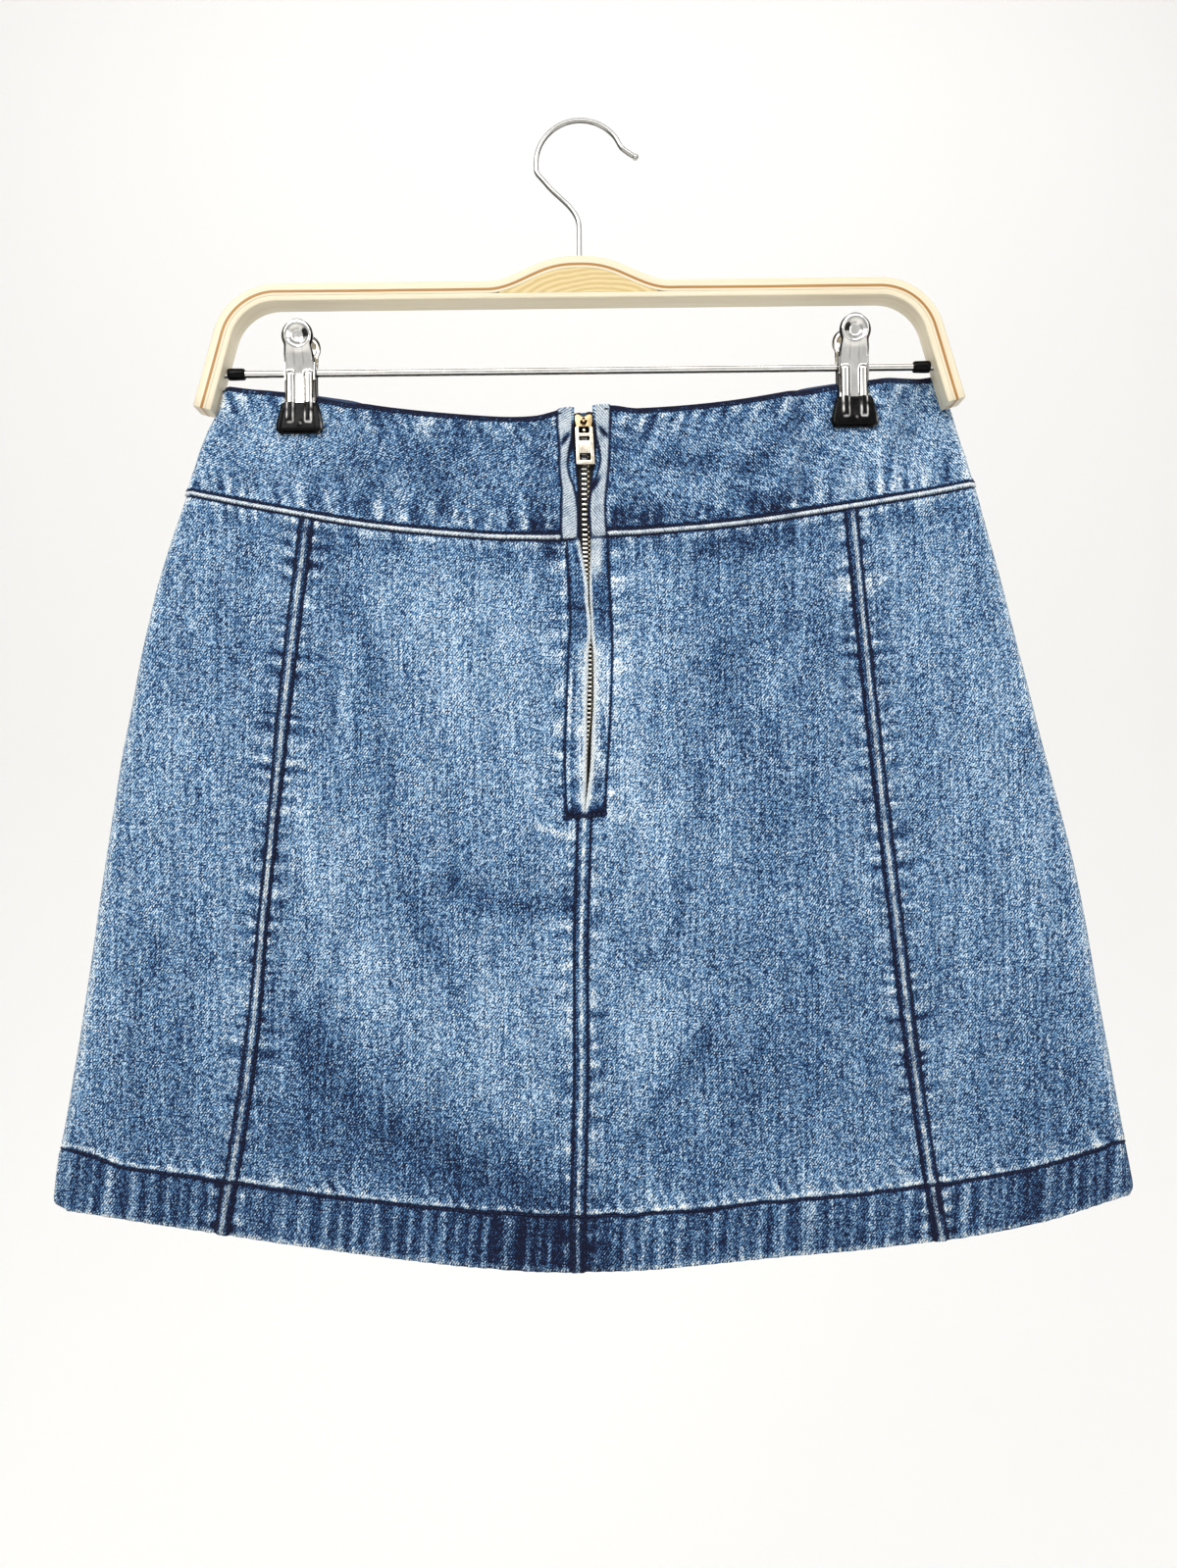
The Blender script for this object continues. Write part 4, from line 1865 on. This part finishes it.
def make_strip(name, node, path, start, end, cuts, material):
    along = tangents(path)
    inwards = np.stack([along[:, 1], -along[:, 0]], axis=1)
    run = np.concatenate([[0.0], np.cumsum(np.linalg.norm(np.diff(path, axis=0), axis=1))])
    ring = corner_ring(start, end, WOOD_HALF_DEPTH, cuts)
    points, grain, depth_in = [], [], []
    rows = [(0, 0.35, 0.0), (0, 0.0, 0.35)] + [(k, 0.0, 0.0) for k in range(1, len(path) - 1)]
    rows += [(len(path) - 1, 0.0, -0.35), (len(path) - 1, 0.35, 0.0)]
    middle = (start + end) / 2.0
    for k, shrink, shift in rows:
        for a, b in ring:
            a2 = a + (middle - a) * shrink * 0.25
            b2 = b * (1.0 - shrink * 0.08)
            spot = path[k] + inwards[k] * a2 + along[k] * shift
            points.append((spot[0], b2, spot[1]))
            grain.append((run[k], b, a))
            depth_in.append(a)
    thing = place_piece((points, ring_faces(len(rows), len(ring))), name, material, [node],
                        50.0)
    set_vectors(thing.data, "grain", grain)
    set_values(thing.data, "inwards", depth_in)


def make_infill(material):
    """The lens of solid wood between the arched ply and the straight one."""
    floor = WOOD_TOP_Z - OUTER_PLY - 0.05
    xs = np.linspace(-HUMP_HALF * 0.86, HUMP_HALF * 0.86, 81)
    slope = (hump(xs + 0.3) - hump(xs - 0.3)) / 0.6
    top = WOOD_TOP_Z + hump(xs) - (OUTER_PLY + 0.1) * np.hypot(1.0, slope)
    kept = top > floor + 0.15
    xs, top = xs[kept], top[kept]
    steps_up = 5
    points = []
    for y in (-WOOD_HALF_DEPTH + 0.15, WOOD_HALF_DEPTH - 0.15):
        for k in range(steps_up + 1):
            for x, z in zip(xs, top):
                points.append((x + HANGER_X, y, mix(floor, z, k / steps_up)))
    columns, layer = len(xs), len(xs) * (steps_up + 1)
    faces = []
    for side in (0, 1):
        for k in range(steps_up):
            for c in range(columns - 1):
                a = side * layer + k * columns + c
                faces.append((a, a + 1, a + 1 + columns, a + columns))
    faces += side_faces(steps_up + 1, columns)
    thing = place_piece((points, faces), "hanger_wood_lens", material, ["hanger_infill"],
                        35.0)
    set_vectors(thing.data, "grain", points)


def hook_path():
    """The wire's middle: stem, neck, round hook and turned-out tip, smoothed."""
    centre_z = WIRE_RADIUS - HOOK_RADIUS
    points = list(HOOK_STEM) + list(HOOK_NECK)
    for k in range(19):
        angle = math.radians(mix(HOOK_FIRST, HOOK_LAST, k / 18))
        points.append((HOOK_X + HOOK_RADIUS * math.cos(angle),
                       centre_z + HOOK_RADIUS * math.sin(angle)))
    points = np.array(points + list(HOOK_TIP))
    fine = []
    for k in range(len(points) - 1):
        before, after = points[max(0, k - 1)], points[min(len(points) - 1, k + 2)]
        here, there = points[k], points[k + 1]
        for t in (0.0, 0.25, 0.5, 0.75):
            fine.append(0.5 * (2 * here + (there - before) * t
                               + (2 * before - 5 * here + 4 * there - after) * t * t
                               + (3 * here - before - 3 * there + after) * t ** 3))
    fine.append(points[-1])
    return np.array([(x, 0.0, z) for x, z in fine])


def make_hook(material):
    path = hook_path()
    wire = tube(path, WIRE_RADIUS, 20)
    end = path[-1]
    run = path[-1] - path[-3]
    run /= np.linalg.norm(run)
    ball = []
    sizes = []
    for k in range(11):
        turn = math.pi * (k + 0.4) / 10.8
        ball.append(end + run * (-1.75 * math.cos(turn) * 0.95 - 0.55))
        sizes.append(max(0.05, 1.75 * math.sin(turn)))
    thing = place_piece(joined(wire, tube(ball, sizes, 20)), "hanger_hook_wire", material,
                        ["hanger_hook"], 60.0)
    turn = 2.0 * math.pi * (np.arange(len(wire[0])) % 20) / 20
    grime = 0.22 + 0.55 * np.abs(np.sin(turn)) ** 4
    set_values(thing.data, "grime", np.concatenate([grime, np.full(len(ball) * 20, 0.25)]))


def make_bar(material, vinyl):
    path = [(HANGER_X + x, 0.0, BAR_Z) for x in np.linspace(-BAR_HALF, BAR_HALF, 61)]
    rod = tube(path, BAR_RADIUS, 36)
    thing = place_piece(rod, "hanger_bar_rod", material, ["hanger_bar"],
                        60.0)
    height = (rod[0][:, 2] - BAR_Z) / BAR_RADIUS
    set_values(thing.data, "grime", 0.95 * falling(-0.97, -0.72, height))
    profile = ((0.0, BAR_RADIUS + 0.05), (0.05, CAP_RADIUS - 0.5), (0.5, CAP_RADIUS),
               (2.0, CAP_RADIUS + 0.05), (CAP_LENGTH - 1.4, CAP_RADIUS - 0.05),
               (CAP_LENGTH - 0.5, CAP_RADIUS - 0.2), (CAP_LENGTH - 0.05, CAP_RADIUS - 0.7),
               (CAP_LENGTH, BAR_RADIUS + 0.05))
    sides = 32
    for word, sign in SIDES.items():
        start = HANGER_X + sign * CAP_END
        points = []
        for k in range(sides):
            turn = 2.0 * math.pi * k / sides
            for along, radius in profile:
                points.append((start - sign * along, radius * math.cos(turn),
                               BAR_Z + radius * math.sin(turn)))
        count = len(profile)
        faces = []
        for k in range(sides):
            for j in range(count):
                a, b = k * count + j, k * count + (j + 1) % count
                c, d = (k + 1) % sides * count + j, (k + 1) % sides * count + (j + 1) % count
                faces.append((a, b, d, c))
        place_piece((points, faces), "bar_cap_vinyl_" + word, vinyl, ["bar_cap_" + word],
                    50.0)


def make_hanger():
    wood, chrome, vinyl = strip_material(), chrome_material("chrome_rod"), vinyl_material()
    make_strip("hanger_wood_outer", "hanger_outer_ply", strip_path(True), 0.0, OUTER_PLY + 0.1,
               (1.3, 1.3, 0.15, 0.15), wood)
    make_strip("hanger_wood_inner", "hanger_inner_ply", strip_path(False), OUTER_PLY + 0.15,
               OUTER_PLY + GAP + INNER_PLY, (0.15, 0.15, 0.9, 0.9), wood)
    make_infill(infill_material())
    make_hook(chrome)
    make_bar(chrome, vinyl)
    make_clips(chrome_material("chrome_clip"), vinyl)


# ---------------------------------------------------------------- the clips
def rib_height(x, z):
    """Two upright pressed ribs, rounded at both ends."""
    ends = (smooth(RIB_END_Z - 0.3, RIB_END_Z + 1.4, z)
            * falling(RIB_TOP_Z - 1.2, RIB_TOP_Z + 0.6, z))
    total = np.zeros_like(x)
    for middle in (-RIB_X, RIB_X):
        t = np.clip(np.abs(x - middle) / RIB_HALF, 0.0, 1.0)
        total = np.maximum(total, (1.0 - t ** 2.4) ** 0.7)
    foot = falling(-150.0, -148.2, z)
    narrow = np.clip(np.abs(np.abs(x) - RIB_X) / RIB_HALF, 0.0, 1.0) ** 2
    return RIB_HEIGHT * total * ends * (1.0 - foot * narrow)


def make_plate(name, node, clip_x, side, ear_offset, material):
    """A pressed steel plate with a dimpled thumb disc, two ribs and turned edges."""
    top = DISC_Z + DISC_RADIUS
    z = np.concatenate([steps((-152.0, -118.0, 0.8)), steps((-117.6, top - 1.0, 0.55)),
                        top - 1.0 + steps((0.12, 0.985, 0.12))])
    rows_half = read(PLATE_ROWS, "half", z)
    disc = np.sqrt(np.clip(DISC_RADIUS ** 2 - (z - DISC_Z) ** 2, 0.02, None))
    neck = smooth(-119.0, -111.8, z)
    half = np.where(z > DISC_Z - 0.8, disc, mix(rows_half, np.maximum(disc, 6.6), neck))
    reach = read(PLATE_ROWS, "reach", z)
    across = np.linspace(-1.0, 1.0, 41)
    x = half[:, None] * across[None, :]
    zz = np.broadcast_to(z[:, None], x.shape)
    away = np.hypot(x, zz - DISC_Z)
    lift = rib_height(x, zz)
    bowl = falling(DIMPLE_RADIUS * 0.35, DIMPLE_RADIUS, away)
    lift = lift - DIMPLE_DEPTH * bowl + 0.45 * bell(away - DIMPLE_RADIUS - 0.6, 0.8)
    lower = falling(-121.0, -116.0, zz)
    turned = smooth(0.82, 1.0, np.abs(across))[None, :] ** 1.5
    lift = lift - turned * mix(0.8, 2.6, lower)
    outer_y = reach[:, None] + lift
    outer = np.stack([clip_x + x, side * outer_y, zz], axis=-1)
    inner = outer - np.array([0.0, side * PLATE_THICK * 0.8, 0.0])
    rows, columns = x.shape
    count = rows * columns
    faces = []
    for r in range(rows - 1):
        for c in range(columns - 1):
            a = r * columns + c
            faces.append((a, a + 1, a + 1 + columns, a + columns))
            faces.append((count + a, count + a + columns, count + a + 1 + columns,
                          count + a + 1))
    faces += side_faces(rows, columns)
    shape = (np.concatenate([outer.reshape(-1, 3), inner.reshape(-1, 3)]), faces)
    ears = []
    for sign in (-1.0, 1.0):
        ear_x = clip_x + sign * ear_offset
        outline = [(side * 4.4, BAR_Z + 4.0), (side * 4.4, BAR_Z - 4.6)]
        for k in range(9):
            turn = math.radians(-90.0 + 180.0 * k / 8)
            outline.append((-side * (0.2 + 2.9 * math.cos(turn)), BAR_Z + 2.9 * math.sin(turn)))
        flat = [(x2, y, z2) for x2 in (ear_x - 0.4, ear_x + 0.4) for y, z2 in outline]
        ears.append((flat, ring_faces(2, len(outline))))
    from_rib = np.abs(np.abs(x) - RIB_X)
    rib_edge = bell(from_rib - RIB_HALF, 0.3) * (rib_height(x * 0.0 + RIB_X, zz) > 0.5)
    rib_end = bell(zz - RIB_TOP_Z, 0.45) * (from_rib < RIB_HALF)
    grime = 0.75 * rib_edge + 0.6 * rib_end + 0.55 * bell(away - DIMPLE_RADIUS, 0.35)
    grime += 1.1 * smooth(0.84, 0.95, np.abs(across))[None, :]
    grime += 0.5 * bell(away - 3.4, 0.5) * (soft_noise(x, zz, 2.2, 2.2, 161) > 0.0)
    grime += 0.35 * bell(np.abs(x) - 2.2, 0.35) * smooth(-124.0, -121.0, zz) * (1.0 - neck)[:, None]
    grime += 1.1 * smooth(DISC_RADIUS - 0.9, DISC_RADIUS - 0.3, away) * (zz > DISC_Z)
    thing = place_piece(joined(shape, *ears), name, material, [node],
                        50.0)
    ear_count = sum(len(flat) for flat, _ in ears)
    set_values(thing.data, "grime", np.concatenate([grime.ravel(), grime.ravel(),
                                                    np.full(ear_count, 0.3)]))


def make_tip(name, node, clip_x, side, material):
    """A dipped vinyl foot that keeps the shape of the ribs under it."""
    z = np.concatenate([TIP_TOP_Z + np.array([-0.02, -0.12, -0.35]),
                        -steps((141.7, 155.0, 0.45)), TIP_END_Z + np.array([0.9, 0.45, 0.15, 0.0])])
    share = (TIP_TOP_Z - z) / (TIP_TOP_Z - TIP_END_Z)
    half = mix(TIP_TOP_HALF - 1.5, TIP_END_HALF, smooth(-0.25, 0.85, share))
    round_top = falling(0.0, 0.05, share)
    round_end = smooth(0.84, 1.0, share)
    half = half - 0.35 * round_top - 1.6 * round_end ** 2
    reach = mix(TIP_OUTER - 1.3, TIP_OUTER - 0.6, smooth(0.0, 0.8, share))
    reach = reach - 0.4 * round_top - 1.5 * round_end ** 2
    near = TIP_INNER + 0.1 + 0.5 * round_end
    across = np.linspace(-1.0, 1.0, 61)
    rounded = (1.0 - np.abs(across) ** 9) ** 0.5
    points, scuff = [], []
    for k in range(len(z)):
        x = half[k] * across
        deep = reach[k] - near[k]
        from_rib = np.abs(np.abs(x) - RIB_X)
        flank = bell(from_rib - 1.5, 0.3) * smooth(RIB_END_Z, RIB_END_Z + 1.0, z[k])
        foot = bell(z[k] - RIB_END_Z - 0.2, 0.35) * (from_rib < 1.6)
        worn = 1.7 * flank + 2.2 * foot
        worn = worn + 0.5 * bell(across - 0.93, 0.03) * smooth(0.2, 1.0, share[k])
        worn += 0.7 * bell(x - 0.6, 0.5) * bell(z[k] + 151.6, 0.5)
        worn *= 0.6 + 0.8 * soft_noise(x, np.full_like(x, z[k]), 1.5, 2.5, 171)
        scuff += list(worn) + [0.0] * len(x[-2:0:-4])
        ribs = RIB_GAIN * rib_height(x, np.full_like(x, z[k]))
        pad = 0.35 * bell(x, 1.1) * bell(z[k] + 151.0, 1.6)
        rim = 0.35 * smooth(0.72, 0.86, np.abs(across)) * smooth(0.1, 0.25, share[k])
        front = near[k] + deep * (0.5 + 0.5 * rounded) + (ribs + pad + rim) * rounded
        back = near[k] + deep * 0.5 * (1.0 - rounded)
        points += [(clip_x + a, side * b, z[k]) for a, b in zip(x, front)]
        points += [(clip_x + a, side * b, z[k]) for a, b in zip(x[-2:0:-4], back[-2:0:-4])]
    sides = len(points) // len(z)
    thing = place_piece((points, ring_faces(len(z), sides)), name, material, [node],
                        60.0)
    set_values(thing.data, "scuff", np.maximum(scuff, 0.0))


def make_clips(chrome, vinyl):
    for word, clip_x in CLIP_X.items():
        for face, side in (("front", -1.0), ("back", 1.0)):
            node = "clip_%s_%s" % (word, face)
            make_plate("clip_steel_%s_%s" % (word, face), node + "_plate", clip_x, side,
                       EAR_OFFSET[face], chrome)
            make_tip("clip_vinyl_%s_%s" % (word, face), node + "_tip", clip_x, side, vinyl)
        path = []
        for k in range(SPRING_TURNS * 20 + 1):
            turn = 2.0 * math.pi * k / 20
            path.append((clip_x - SPRING_HALF + 2.0 * SPRING_HALF * k / (SPRING_TURNS * 20),
                         SPRING_RADIUS * math.cos(turn), BAR_Z + SPRING_RADIUS * math.sin(turn)))
        place_piece(tube(path, SPRING_WIRE, 8), "clip_spring_wire_" + word, chrome,
                    ["clip_%s_spring" % word], 60.0)


# ---------------------------------------------------------------- stage, light, camera
FLOOR_Z = -1.35
WALL_Y = 2.6


def make_stage():
    """A pale floor that sweeps up into a pale backdrop."""
    n = Nodes("studio_paper", roughness=0.95)
    n.shader.inputs["Base Color"].default_value = linear((250, 249, 247))
    profile = [(-3.2, FLOOR_Z), (1.2, FLOOR_Z)]
    for k in range(1, 13):
        turn = math.pi / 2.0 * k / 12
        profile.append((1.2 + (WALL_Y - 1.2) * math.sin(turn),
                        FLOOR_Z + (WALL_Y - 1.2) * (1.0 - math.cos(turn))))
    profile.append((WALL_Y, 3.2))
    points = [(x / MM, y / MM, z / MM) for x in (-3.6, 3.6) for y, z in profile]
    count = len(profile)
    faces = [(k, k + 1, k + 1 + count, k + count) for k in range(count - 1)]
    floor = mesh_object("studio_floor", points, faces, n.material, 180.0)


def area_light(name, place, target, size, power, colour):
    data = bpy.data.lights.new(name, "AREA")
    data.shape = "RECTANGLE"
    data.size, data.size_y = size
    data.energy = power
    data.color = colour
    lamp = link(bpy.data.objects.new(name, data))
    lamp.location = place
    way = Vector(target) - Vector(place)
    lamp.rotation_euler = way.to_track_quat("-Z", "Y").to_euler()


def make_flags():
    """Dark cards that only the chrome mirrors."""
    n = Nodes("black_card", roughness=0.9)
    n.shader.inputs["Base Color"].default_value = linear((22, 22, 24))
    cards = (
        ("flag_left", (-1500, -1490), (-900, 300), (-900, 500)),
        ("flag_right", (1490, 1500), (-900, 300), (-900, 500)),
        ("flag_floor", (-700, 700), (-560, 220), (-1290, -1280)),
        ("flag_high", (-700, 700), (-500, -60), (1300, 1310)),
    )
    for name, x, y, z in cards:
        shape = bevelled_box(x, y, z, 2.0, 1)
        card = mesh_object(name, *shape, n.material)
        card.visible_camera = False


def make_lights():
    world = bpy.data.worlds.new("studio")
    world.use_nodes = True
    background = world.node_tree.nodes["Background"]
    background.inputs["Color"].default_value = (1.0, 1.0, 1.0, 1.0)
    background.inputs["Strength"].default_value = 0.74
    bpy.context.scene.world = world
    middle = (0.0, 0.0, -0.33)
    area_light("key", (-0.9, -1.5, 0.75), middle, (1.1, 0.9), 17.0, (1.0, 0.99, 0.97))
    area_light("fill", (1.3, -1.2, 0.1), middle, (1.0, 1.4), 6.0, (1.0, 1.0, 1.0))
    area_light("rear", (0.3, 1.5, 0.8), middle, (1.4, 1.0), 6.0, (1.0, 1.0, 1.0))
    area_light("wall", (0.0, 0.9, 2.3), (0.0, WALL_Y, -0.3), (3.0, 0.6), 17.0, (1.0, 0.99, 0.975))
    area_light("floor_bounce", (0.0, -1.4, 1.0), (0.0, -1.4, FLOOR_Z), (2.0, 0.8), 17.0,
               (1.0, 1.0, 1.0))


def make_camera():
    data = bpy.data.cameras.new("camera")
    data.sensor_fit = "VERTICAL"
    data.sensor_height = SENSOR_HEIGHT
    data.lens = CAMERA_LENS
    data.clip_start = 0.01
    camera = link(bpy.data.objects.new("camera", data))
    forward = Vector(CAMERA_FORWARD).normalized()
    right = Vector(CAMERA_RIGHT)
    right = (right - forward * right.dot(forward)).normalized()
    up = right.cross(forward)
    rows = [(right[i], up[i], -forward[i], CAMERA_PLACE[i]) for i in range(3)]
    camera.matrix_world = Matrix((*rows, (0.0, 0.0, 0.0, 1.0)))
    bpy.context.scene.camera = camera


make_skirt()
make_zip()
make_hanger()
make_stage()
make_flags()
make_lights()
make_camera()
bpy.context.scene.view_settings.view_transform = "Standard"
